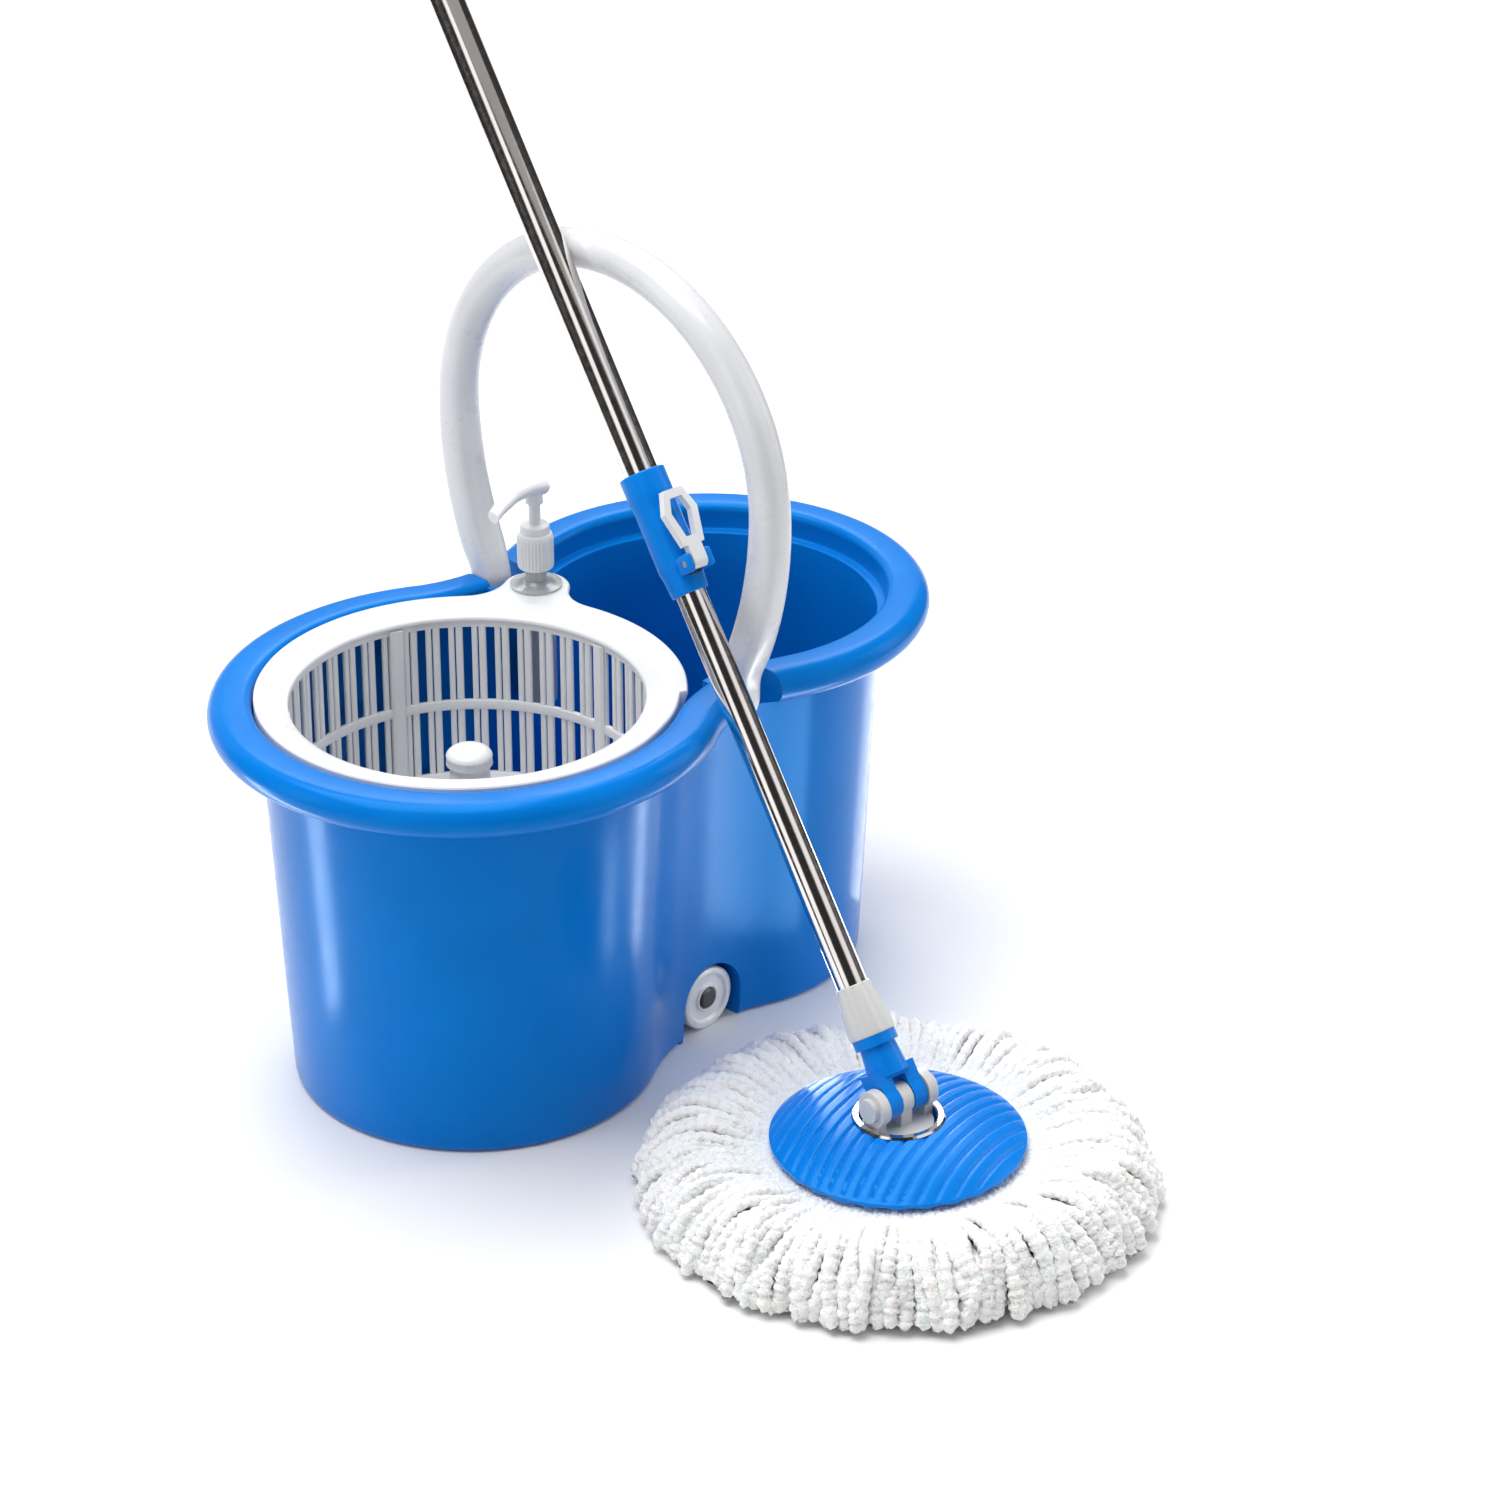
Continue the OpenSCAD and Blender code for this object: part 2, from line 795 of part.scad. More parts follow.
module yoke() {
    color(blue)
        pole_frame()
            difference() {
                union() {
                    for (x = [-13.7, 4.6])
                        lug(x, x + 9.1, 9.5);
                    for (x = [-13.7, 4.6])
                        translate([x, -8, 0])
                            cube([9.1, 16, 14]);
                    translate([-13.7, -8, 12])
                        cube([27.4, 16, 6]);
                    translate([0, 0, 14])
                        cylinder(r1 = 12.2, r2 = 10.6, h = 18);
                    translate([0, 0, 32])
                        cylinder(r = 13, h = 6);
                }
                lug(-30, 30, 3.2 + run);
                translate([0, 0, 20])
                    cylinder(r = lower_r, h = 30);
            }
}

module collar_nut() {
    color(grey)
        pole_frame()
            difference() {
                union() {
                    translate([0, 0, 38])
                        cylinder(r = 13.6, h = 9);
                    translate([0, 0, 47])
                        cylinder(r1 = 13, r2 = 9.9, h = 21);
                }
                translate([0, 0, 30])
                    cylinder(r = lower_r, h = 50);
                for (a = [0 : 60 : 300])
                    rotate([0, 0, a])
                        translate([12.7, -4, 37])
                            cube([4, 8, 11]);
            }
}

module tube(r, t, s0, s1) {
    translate([0, 0, s0])
        difference() {
            cylinder(r = r, h = s1 - s0);
            translate([0, 0, -1])
                cylinder(r = r - t, h = s1 - s0 + 2);
        }
}

module lower_tube() {
    color(steel)
        pole_frame()
            tube(lower_r, 0.8, 20, sleeve_s + 270);
}

module guide_bush() {
    color(dark)
        pole_frame()
            translate([0, 0, sleeve_s + 262])
                difference() {
                    union() {
                        cylinder(r = 8, h = 8);
                        translate([0, 0, 8])
                            cylinder(r = upper_r - 0.8 - run, h = 6);
                    }
                    translate([0, 0, -1])
                        cylinder(r = 6, h = 20);
                }
}

module upper_tube() {
    color(steel)
        pole_frame()
            tube(upper_r, 0.8, sleeve_s + 28, pole_s);
}

module clamp_sleeve() {
    color(blue)
        pole_frame()
            difference() {
                union() {
                    translate([0, 0, sleeve_s])
                        cylinder(r1 = 11.4, r2 = 12.4, h = 14);
                    translate([0, 0, sleeve_s + 14])
                        cylinder(r = 12.6, h = 40);
                    translate([0, 0, sleeve_s + 54])
                        cylinder(r1 = 12.6, r2 = 13.4, h = 19);
                    for (x = [-9, 5])
                        translate([x, -22.5, sleeve_s + 9])
                            cube([4, 14, 12]);
                }
                translate([0, 0, sleeve_s - 1])
                    cylinder(r = lower_r + 0.1, h = 40);
                translate([0, 0, sleeve_s + 28])
                    cylinder(r = upper_r, h = 60);
                translate([-4.2, -14, sleeve_s + 9])
                    cube([8.4, 6, 12]);
                translate([0, lever_y, lever_s])
                    lug(-20, 20, 2 + run);
            }
}

module clamp_pad() {
    color(dark)
        pole_frame()
            translate([-4.2, -12, sleeve_s + 9])
                cube([8.4, 12 - lower_r - gap, 12]);
}

module clamp_lever() {
    color(white)
        pole_frame()
            translate([0, lever_y, lever_s])
                difference() {
                    union() {
                        lug(-4.6, 4.6, 4.6);
                        translate([-4.6, -4.6, 0])
                            cube([9.2, 4.8, 12]);
                        translate([0, 0.2, 9])
                            rotate([90, 0, 0])
                                linear_extrude(4.8)
                                    polygon([[-7, 0], [7, 0], [11.5, 20], [6.5, 33], [-6.5, 33],
                                             [-11.5, 20]]);
                    }
                    translate([0, 5, 9])
                        rotate([90, 0, 0])
                            linear_extrude(14)
                                polygon([[-3.4, 5], [3.4, 5], [7, 19.5], [4.2, 28], [-4.2, 28],
                                         [-7, 19.5]]);
                    lug(-20, 20, 2);
                }
}

module lever_pin() {
    color(steel)
        pole_frame()
            translate([0, lever_y, lever_s])
                lug(-8.8, 8.8, 2);
}

module grip() {
    color(blue)
        pole_frame()
            difference() {
                union() {
                    translate([0, 0, pole_s - 140])
                        cylinder(r1 = 11.4, r2 = 12.6, h = 12);
                    translate([0, 0, pole_s - 128])
                        cylinder(r = 12.6, h = 124);
                    translate([0, 0, pole_s - 4])
                        cylinder(r1 = 12.6, r2 = 11.8, h = 4);
                }
                translate([0, 0, pole_s - 142])
                    cylinder(r = upper_r, h = 160);
            }
}

module end_cap() {
    color(blue)
        pole_frame()
            difference() {
                union() {
                    translate([0, 0, pole_s - 16])
                        cylinder(r = upper_r - 0.8, h = 16);
                    translate([0, 0, pole_s])
                        cylinder(r1 = 11.8, r2 = 11.2, h = 10);
                    translate([-5, -11, pole_s + 8])
                        cube([10, 22, 7]);
                    translate([0, 0, pole_s + 15])
                        lug(-5, 5, 11);
                }
                translate([0, 0, pole_s + 16])
                    lug(-20, 20, 5);
            }
}

// node to draw, or all of them

bucket_shell();
bearing_cup();
handle_pin_front();
handle_pin_back();
wheel_axle_front();
wheel_axle_back();
wheel_front();
wheel_back();
handle_arch();
splash_tray();
retaining_ring();
tray_screw_a();
tray_screw_b();
tray_screw_c();
tray_screw_d();
basket_cage();
basket_hub();
spindle_pin();
soap_bottle();
pump_collar();
pump_housing();
dip_tube();
pump_spring();
pump_stem();
pump_piston();
pump_head();
mop_pad();
pad_ring();
mop_plate();
trim_ring();
hinge_base();
swivel_axle();
hinge_pin();
pin_cap_left();
pin_cap_right();
yoke();
collar_nut();
lower_tube();
guide_bush();
upper_tube();
clamp_sleeve();
clamp_pad();
clamp_lever();
lever_pin();
grip();
end_cap();
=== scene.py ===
"""Looks of the spin mop set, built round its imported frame. Metres, +Z up, floor at z = 0."""

import json
import math
import random

import bmesh
import bpy
from mathutils import Matrix, Vector


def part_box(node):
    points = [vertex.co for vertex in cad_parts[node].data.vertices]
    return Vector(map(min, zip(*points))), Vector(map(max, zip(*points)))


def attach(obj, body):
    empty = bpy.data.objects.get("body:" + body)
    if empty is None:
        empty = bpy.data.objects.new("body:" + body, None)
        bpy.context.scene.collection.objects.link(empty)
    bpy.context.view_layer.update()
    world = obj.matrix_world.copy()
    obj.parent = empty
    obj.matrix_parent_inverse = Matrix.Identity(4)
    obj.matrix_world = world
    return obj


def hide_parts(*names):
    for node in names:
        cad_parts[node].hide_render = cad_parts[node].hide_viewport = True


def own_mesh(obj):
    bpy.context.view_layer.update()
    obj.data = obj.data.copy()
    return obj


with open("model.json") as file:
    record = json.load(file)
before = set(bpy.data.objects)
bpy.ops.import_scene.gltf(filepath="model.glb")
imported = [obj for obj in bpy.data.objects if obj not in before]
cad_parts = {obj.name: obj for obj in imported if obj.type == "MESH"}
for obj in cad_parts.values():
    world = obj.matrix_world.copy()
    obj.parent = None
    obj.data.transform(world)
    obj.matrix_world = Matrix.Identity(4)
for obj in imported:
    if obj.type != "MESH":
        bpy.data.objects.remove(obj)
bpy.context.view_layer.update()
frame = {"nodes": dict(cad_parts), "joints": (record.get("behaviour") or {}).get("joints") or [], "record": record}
JOINTS = {joint["name"]: joint for joint in frame["joints"]}

# Sizes that come from the frame.
BUCKET_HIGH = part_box("bucket_shell")[1]
CAGE_LOW, CAGE_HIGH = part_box("basket_cage")
HANDLE_LOW, HANDLE_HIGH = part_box("handle_arch")
TRAY_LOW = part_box("splash_tray")[0]
RING_LOW, RING_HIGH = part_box("retaining_ring")
BOTTLE_LOW, BOTTLE_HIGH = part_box("soap_bottle")
PAD_LOW, PAD_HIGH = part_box("mop_pad")
PLATE_LOW, PLATE_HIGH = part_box("mop_plate")
WHEEL_LOW, WHEEL_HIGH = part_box("wheel_back")
BASKET_X = (CAGE_LOW.x + CAGE_HIGH.x) / 2
RIM_Z = BUCKET_HIGH.z
BASKET_RIM_R = BUCKET_HIGH.y
RING_WIDTH = 0.013
TRAY_RISE = 0.0105
CAGE_R = (RING_HIGH.x - RING_LOW.x) / 2 - RING_WIDTH
TRAY_Z = RING_HIGH.z + TRAY_RISE
WAIST_X = (WHEEL_LOW.x + WHEEL_HIGH.x) / 2
PUMP_X = (BOTTLE_LOW.x + BOTTLE_HIGH.x) / 2
PUMP_Y = (BOTTLE_LOW.y + BOTTLE_HIGH.y) / 2
MOP_X = (PLATE_LOW.x + PLATE_HIGH.x) / 2
MOP_Y = (PLATE_LOW.y + PLATE_HIGH.y) / 2
PAD_R = (PAD_HIGH.x - PAD_LOW.x) / 2
PLATE_R = (PLATE_HIGH.x - PLATE_LOW.x) / 2

# Shape of the bucket: radii, drops below the rim, and insets from the rim's outer edge.
RINSE_RIM_R = 0.133
WAIST_R = 0.078
RINSE_X = BUCKET_HIGH.x - RINSE_RIM_R
RIM_WIDTH = 0.0255
LEDGE_DROP = 0.016
WALL_TOP_INSET = 0.029
WALL_FOOT_INSET = 0.040
WALL = 0.0024
ROLL_R = 0.0105
LEDGE_Z = RIM_Z - LEDGE_DROP


# ---------------------------------------------------------------- mesh helpers

def polar(x, y, radius, angle):
    return (x + radius * math.cos(angle), y + radius * math.sin(angle))


def arc(x, y, radius, start, end, steps):
    """Points on an arc, angles in degrees."""
    turns = [math.radians(start + (end - start) * i / steps) for i in range(steps + 1)]
    return [polar(x, y, radius, turn) for turn in turns]


def rounded(corners, steps=4, closed=True):
    """A profile through corners given as (x, z, radius), each turned into an arc of that radius."""
    points = []
    count = len(corners)
    for i, (x, z, radius) in enumerate(corners):
        here = Vector((x, z))
        if radius == 0 or (not closed and i in (0, count - 1)):
            points.append((x, z))
            continue
        before = (Vector(corners[i - 1][:2]) - here).normalized()
        after = (Vector(corners[(i + 1) % count][:2]) - here).normalized()
        half = before.angle(after) / 2
        if half > math.radians(88):
            points.append((x, z))
            continue
        reach = radius / math.tan(half)
        centre = here + (before + after).normalized() * radius / math.sin(half)
        first = here + before * reach - centre
        last = here + after * reach - centre
        turn = first.angle_signed(last)
        for k in range(steps + 1):
            spoke = first.copy()
            spoke.rotate(Matrix.Rotation(-turn * k / steps, 2))
            points.append(tuple(centre + spoke))
    return points


def new_object(name, vertices, faces, sharp=35):
    mesh = bpy.data.meshes.new(name)
    mesh.from_pydata([tuple(v) for v in vertices], [], faces)
    mesh.shade_smooth()
    mesh.set_sharp_from_angle(angle=math.radians(sharp))
    made = bpy.data.objects.new(name, mesh)
    bpy.context.scene.collection.objects.link(made)
    return made


def grid_faces(rows, columns, row_loop, column_loop, first=0):
    """Quads between the points of a grid held row by row."""
    faces = []
    for i in range(rows if row_loop else rows - 1):
        for j in range(columns if column_loop else columns - 1):
            a = first + i * columns + j
            b = first + i * columns + (j + 1) % columns
            below = ((i + 1) % rows) * columns
            faces.append((a, first + below + j, first + below + (j + 1) % columns, b))
    return faces


def cap_faces(rows, columns, first=0):
    """The two faces that close the ends of such a grid."""
    last = first + (rows - 1) * columns
    return [
        tuple(first + j for j in range(columns)),
        tuple(last + j for j in reversed(range(columns))),
    ]


def sweep(name, stations, profiles, ring=True, profile_loop=True, caps=False, sharp=35):
    """Profiles of (x, z) points carried along stations of (origin, x axis, z axis)."""
    if not isinstance(profiles[0], list):
        profiles = [profiles] * len(stations)
    vertices = [
        origin + across * x + up * z
        for (origin, across, up), profile in zip(stations, profiles)
        for x, z in profile
    ]
    rows, columns = len(stations), len(profiles[0])
    faces = grid_faces(rows, columns, ring, profile_loop)
    if caps:
        faces += cap_faces(rows, columns)
    return new_object(name, vertices, faces, sharp)


def lathe_stations(x, y, steps, start=0, turn=360):
    up = Vector((0, 0, 1))
    count = steps if turn == 360 else steps + 1
    angles = [math.radians(start + turn * i / steps) for i in range(count)]
    return [(Vector((x, y, 0)), Vector((math.cos(a), math.sin(a), 0)), up) for a in angles]


def lathe(name, profile, x=0, y=0, steps=128, profile_loop=True):
    return sweep(name, lathe_stations(x, y, steps), profile, True, profile_loop)


def box_object(name, low, high):
    xs, ys, zs = zip(low, high)
    corners = [(x, y, z) for x in xs for y in ys for z in zs]
    faces = [(0, 1, 3, 2), (4, 6, 7, 5), (0, 4, 5, 1), (2, 3, 7, 6), (0, 2, 6, 4), (1, 5, 7, 3)]
    return new_object(name, corners, faces)


def apply_modifiers(made):
    graph = bpy.context.evaluated_depsgraph_get()
    mesh = bpy.data.meshes.new_from_object(made.evaluated_get(graph))
    made.modifiers.clear()
    made.data = mesh
    return made


def combine(made, other, operation):
    """Boolean of two closed meshes, after which the second is removed."""
    modifier = made.modifiers.new("combine", "BOOLEAN")
    modifier.operation = operation
    modifier.solver = "EXACT"
    modifier.object = other
    apply_modifiers(made)
    bpy.data.objects.remove(other)
    return made


def bevelled(made, width, segments=2, angle=35):
    modifier = made.modifiers.new("edges", "BEVEL")
    modifier.width = width
    modifier.segments = segments
    modifier.limit_method = "ANGLE"
    modifier.angle_limit = math.radians(angle)
    apply_modifiers(made)
    made.data.shade_smooth()
    made.data.set_sharp_from_angle(angle=math.radians(40))
    return made


def join(name, parts):
    """Several meshes as one object."""
    vertices, faces = [], []
    for part in parts:
        first = len(vertices)
        vertices += [v.co.copy() for v in part.data.vertices]
        faces += [tuple(first + i for i in p.vertices) for p in part.data.polygons]
    for part in parts:
        bpy.data.objects.remove(part)
    return new_object(name, vertices, faces)


# ---------------------------------------------------------------- materials

def new_material(name, colour, roughness, metallic=0.0, coat=0.0, specular=0.5):
    material = bpy.data.materials.new(name)
    material.use_nodes = True
    shader = material.node_tree.nodes["Principled BSDF"]
    shader.inputs["Base Color"].default_value = (*colour, 1)
    shader.inputs["Roughness"].default_value = roughness
    shader.inputs["Metallic"].default_value = metallic
    shader.inputs["Coat Weight"].default_value = coat
    shader.inputs["Coat Roughness"].default_value = 0.12
    shader.inputs["Specular IOR Level"].default_value = specular
    return material


def add_noise(material, scale, detail=4.0):
    tree = material.node_tree
    place = tree.nodes.new("ShaderNodeTexCoord")
    texture = tree.nodes.new("ShaderNodeTexNoise")
    texture.inputs["Scale"].default_value = scale
    texture.inputs["Detail"].default_value = detail
    tree.links.new(place.outputs["Object"], texture.inputs["Vector"])
    return texture


def spread(material, source, low, high):
    """Maps a texture's 0 to 1 onto low to high."""
    node = material.node_tree.nodes.new("ShaderNodeMapRange")
    node.inputs["From Min"].default_value = 0.3
    node.inputs["From Max"].default_value = 0.7
    node.inputs["To Min"].default_value = low
    node.inputs["To Max"].default_value = high
    material.node_tree.links.new(source, node.inputs["Value"])
    return node.outputs["Result"]


def shade(material, colour, other, source, low=0.3, high=0.7):
    """Colour that runs from one tone to another with a texture."""
    tree = material.node_tree
    ramp = tree.nodes.new("ShaderNodeValToRGB")
    ramp.color_ramp.elements[0].position = low
    ramp.color_ramp.elements[0].color = (*colour, 1)
    ramp.color_ramp.elements[1].position = high
    ramp.color_ramp.elements[1].color = (*other, 1)
    tree.links.new(source, ramp.inputs["Fac"])
    tree.links.new(ramp.outputs["Color"], tree.nodes["Principled BSDF"].inputs["Base Color"])


def bump(material, source, strength, distance):
    tree = material.node_tree
    node = tree.nodes.new("ShaderNodeBump")
    node.inputs["Strength"].default_value = strength
    node.inputs["Distance"].default_value = distance
    tree.links.new(source, node.inputs["Height"])
    tree.links.new(node.outputs["Normal"], tree.nodes["Principled BSDF"].inputs["Normal"])


def moulded_plastic(name, colour, roughness, coat=0.0, grain=0.12, tint=(1, 1, 1), specular=0.5):
    """Injection-moulded plastic: faint flow marks in colour and gloss, and a fine moulded grain."""
    material = new_material(name, colour, roughness, coat=coat, specular=specular)
    tree = material.node_tree
    shader = tree.nodes["Principled BSDF"]
    shader.inputs["Specular Tint"].default_value = (*tint, 1)
    flow = add_noise(material, 14, 3)
    darker = tuple(c * 0.93 for c in colour)
    lighter = tuple(min(1, c * 1.05) for c in colour)
    shade(material, darker, lighter, flow.outputs["Fac"])
    rough = add_noise(material, 90, 5)
    tree.links.new(
        spread(material, rough.outputs["Fac"], roughness * 0.85, roughness * 1.2),
        shader.inputs["Roughness"],
    )
    fine = add_noise(material, 900, 3)
    bump(material, fine.outputs["Fac"], grain, 0.00006)
    return material


def clear_plastic(name):
    material = moulded_plastic(name, (0.80, 0.84, 0.86), 0.12, coat=0.3, grain=0.2)
    shader = material.node_tree.nodes["Principled BSDF"]
    shader.inputs["Transmission Weight"].default_value = 0.65
    shader.inputs["IOR"].default_value = 1.46
    return material


def polished_steel(name):
    """Drawn steel tube: mirror bright with very fine marks along and round it."""
    material = new_material(name, (0.80, 0.78, 0.76), 0.1, metallic=1.0)
    tree = material.node_tree
    shader = tree.nodes["Principled BSDF"]
    marks = add_noise(material, 260, 6)
    tree.links.new(spread(material, marks.outputs["Fac"], 0.06, 0.15), shader.inputs["Roughness"])
    cloud = add_noise(material, 22, 3)
    shade(material, (0.74, 0.70, 0.68), (0.84, 0.80, 0.78), cloud.outputs["Fac"])
    bump(material, marks.outputs["Fac"], 0.08, 0.00004)
    return material


def plain_steel(name):
    material = new_material(name, (0.62, 0.61, 0.60), 0.28, metallic=1.0)
    tree = material.node_tree
    shader = tree.nodes["Principled BSDF"]
    marks = add_noise(material, 420, 6)
    tree.links.new(spread(material, marks.outputs["Fac"], 0.2, 0.38), shader.inputs["Roughness"])
    bump(material, marks.outputs["Fac"], 0.15, 0.00005)
    return material


def chenille(name):
    """White microfibre yarn: soft, with a sheen, a short pile and slight changes of shade."""
    material = new_material(name, (0.94, 0.935, 0.925), 0.95, specular=0.15)
    tree = material.node_tree
    shader = tree.nodes["Principled BSDF"]
    shader.inputs["Sheen Weight"].default_value = 0.35
    shader.inputs["Sheen Roughness"].default_value = 0.6
    shader.inputs["Subsurface Weight"].default_value = 0.12
    shader.inputs["Subsurface Scale"].default_value = 0.004
    cloud = add_noise(material, 60, 4)
    shade(material, (0.88, 0.87, 0.86), (0.98, 0.97, 0.96), cloud.outputs["Fac"])
    pile = tree.nodes.new("ShaderNodeTexVoronoi")
    pile.inputs["Scale"].default_value = 620
    place = tree.nodes.new("ShaderNodeTexCoord")
    tree.links.new(place.outputs["Object"], pile.inputs["Vector"])
    bump(material, pile.outputs["Distance"], 0.7, 0.0008)
    return material


BLUE_SHEEN = (0.10, 0.55, 1.0)
BLUE = moulded_plastic(
    "blue bucket plastic", (0.001, 0.17, 0.60), 0.22,
    coat=0.0, grain=0.03, tint=BLUE_SHEEN, specular=0.32,
)
BRIGHT_BLUE = moulded_plastic(
    "bright blue", (0.002, 0.19, 0.68), 0.3,
    coat=0.03, grain=0.05, tint=BLUE_SHEEN, specular=0.4,
)
WHITE = moulded_plastic("white plastic", (0.77, 0.78, 0.79), 0.32, coat=0.1)
PEARL = moulded_plastic("pearl handle plastic", (0.67, 0.68, 0.70), 0.3, coat=0.3)
GREY = moulded_plastic("light grey plastic", (0.60, 0.60, 0.59), 0.4)
DARK = moulded_plastic("black plastic", (0.02, 0.02, 0.022), 0.45)
CLEAR = clear_plastic("clear plastic")
STEEL = polished_steel("polished steel")
SCREW_STEEL = plain_steel("plain steel")
YARN = chenille("white chenille yarn")
SLOT_MATERIALS = {
    "blue_plastic": BRIGHT_BLUE,
    "white_plastic": WHITE,
    "grey_plastic": GREY,
    "dark_plastic": DARK,
    "clear_plastic": CLEAR,
    "polished_steel": STEEL,
    "plain_steel": SCREW_STEEL,
    "microfibre": YARN,
}


def finish_piece(made, material, body, slot, *nodes):
    made.data.materials.clear()
    made.data.materials.append(material)
    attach(made, body)
    if nodes:
        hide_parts(*nodes)
    return made


def finish_cad_nodes():
    """Every carried-over node gets the finish of its material slot."""
    for sub_part in frame["record"]["subparts"]:
        node = frame["nodes"][sub_part["node"]]
        node.data.materials.clear()
        node.data.materials.append(SLOT_MATERIALS[sub_part["material_slot"]])


# ---------------------------------------------------------------- bucket

def waist_geometry():
    """Centre of the waist's hollow curve and the angles where it meets the two lobes."""
    span = RINSE_X - BASKET_X
    a = BASKET_RIM_R + WAIST_R
    b = RINSE_RIM_R + WAIST_R
    along = (span * span + a * a - b * b) / (2 * span)
    height = math.sqrt(a * a - along * along)
    basket_angle = math.degrees(math.atan2(height, along))
    rinse_angle = math.degrees(math.atan2(height, along - span))
    return BASKET_X + along, height, basket_angle, rinse_angle


HOLLOW_X, HOLLOW_Y, BASKET_ANGLE, RINSE_ANGLE = waist_geometry()
NOTCH_Y = HOLLOW_Y - WAIST_R - 0.0279


def outline_stations():
    """Stations round the rim's outer edge, each with the direction that points outward."""
    up = Vector((0, 0, 1))

    def stretch(x, y, radius, outward, start, end, steps):
        turns = [math.radians(start + (end - start) * i / steps) for i in range(steps)]
        return [
            (
                Vector((*polar(x, y, radius, turn), 0)),
                Vector((outward * math.cos(turn), outward * math.sin(turn), 0)),
                up,
            )
            for turn in turns
        ]

    def lobe(x, radius, start, end, steps):
        return stretch(x, 0, radius, 1, start, end, steps)

    def hollow(y, start, end):
        return stretch(HOLLOW_X, y, WAIST_R, -1, start, end, 30)

    return (
        lobe(BASKET_X, BASKET_RIM_R, BASKET_ANGLE, 360 - BASKET_ANGLE, 110)
        + hollow(-HOLLOW_Y, 180 - BASKET_ANGLE, 180 - RINSE_ANGLE)
        + lobe(RINSE_X, RINSE_RIM_R, -RINSE_ANGLE, RINSE_ANGLE, 100)
        + hollow(HOLLOW_Y, RINSE_ANGLE + 180, BASKET_ANGLE + 180)
    )


def bucket_section():
    """Wall and rolled rim, from the middle of the floor's underside round to its top."""
    roll_z = RIM_Z - ROLL_R
    under_z = LEDGE_Z - WALL
    foot = [
        (-WALL_FOOT_INSET - 0.012, 0.0),
        *arc(-WALL_FOOT_INSET - 0.005, 0.005, 0.005, -90, -3, 5),
    ]
    wall = [
        (-WALL_FOOT_INSET + (WALL_FOOT_INSET - WALL_TOP_INSET) * z / under_z, z)
        for z in (0.06, 0.12, 0.17, under_z - 0.010, under_z - 0.003)
    ]
    neck = [(-WALL_TOP_INSET + 0.0012, under_z - 0.0012), (-WALL_TOP_INSET + 0.003, under_z)]
    under = [
        (-RIM_WIDTH + WALL - 0.001, under_z),
        (-RIM_WIDTH + WALL, under_z + 0.001),
        *arc(0.004 - RIM_WIDTH, RIM_Z - 0.004, 0.0016, 180, 90, 3),
        *arc(-ROLL_R, roll_z, ROLL_R - WALL, 90, -50, 9),
    ]
    roll = arc(-ROLL_R, roll_z, ROLL_R, -50, 90, 16)
    crown = [(-0.0135, RIM_Z + 0.0001), (-0.018, RIM_Z)]
    inner = [
        *arc(0.005 - RIM_WIDTH, RIM_Z - 0.005, 0.005, 90, 180, 6),
        *arc(-RIM_WIDTH - 0.0015, LEDGE_Z + 0.0015, 0.0015, 0, -90, 3),
        *arc(-WALL_TOP_INSET - WALL + 0.001, LEDGE_Z - 0.001, 0.001, 90, 180, 3),
    ]
    inside = [
        (-WALL_FOOT_INSET - WALL + (WALL_FOOT_INSET - WALL_TOP_INSET) * z / under_z, z)
        for z in (0.20, 0.14, 0.08, 0.012)
    ]
    floor = arc(-WALL_FOOT_INSET - WALL - 0.0085, 0.011, 0.008, 0, -90, 5)
    return foot + wall + neck + under + roll + crown + inner + inside + floor


def notch_cutter(side):
    """Space for one foot of the handle, open on the outside."""
    back, front, depth = 0.011, 0.0178, 0.06
    near, far = sorted((side * NOTCH_Y, side * (NOTCH_Y + depth)))
    low = (WAIST_X - back, near, LEDGE_Z - 0.007)
    high = (WAIST_X + front, far, RIM_Z + 0.03)
    return bevelled(box_object("cutter", low, high), 0.0015, 2)


def notch_walls(side):
    """Inner wall and two end webs that close the rim round one notch."""
    low = (WAIST_X - 0.0134, NOTCH_Y - 0.0036, LEDGE_Z - 0.008)
    high = (WAIST_X + 0.0202, NOTCH_Y + 0.012, RIM_Z - 0.0032)
    ys = sorted((side * low[1], side * high[1]))
    block = box_object("walls", (low[0], ys[0], low[2]), (high[0], ys[1], high[2]))
    return bevelled(block, 0.001, 2)


def rim_web_block(side):
    """Solid length of rim that the notch is then cut from, so that its ends are closed."""
    stations = [
        (Vector((*polar(HOLLOW_X, side * HOLLOW_Y, WAIST_R, t), 0)),
         Vector((-math.cos(t), -math.sin(t), 0)), Vector((0, 0, 1)))
        for t in [math.radians(side * (-90 + turn)) for turn in range(-17, 27, 2)]
    ]
    low = LEDGE_Z - 0.012
    section = [
        (-WALL_TOP_INSET - 0.001, low),
        (-WALL_TOP_INSET + 0.002, low),
        *arc(-ROLL_R, RIM_Z - ROLL_R, ROLL_R - 0.0005, -50, 90, 12),
        (-RIM_WIDTH + 0.003, RIM_Z - 0.0012),
        (-RIM_WIDTH + 0.001, LEDGE_Z - 0.001),
        (-WALL_TOP_INSET - 0.001, LEDGE_Z - 0.001),
    ]
    made = sweep("web", stations, section, ring=False, caps=True)
    recalculate(made)
    return made


def recalculate(made):
    """Turns every face outward."""
    work = bmesh.new()
    work.from_mesh(made.data)
    bmesh.ops.recalc_face_normals(work, faces=work.faces)
    work.to_mesh(made.data)
    work.free()


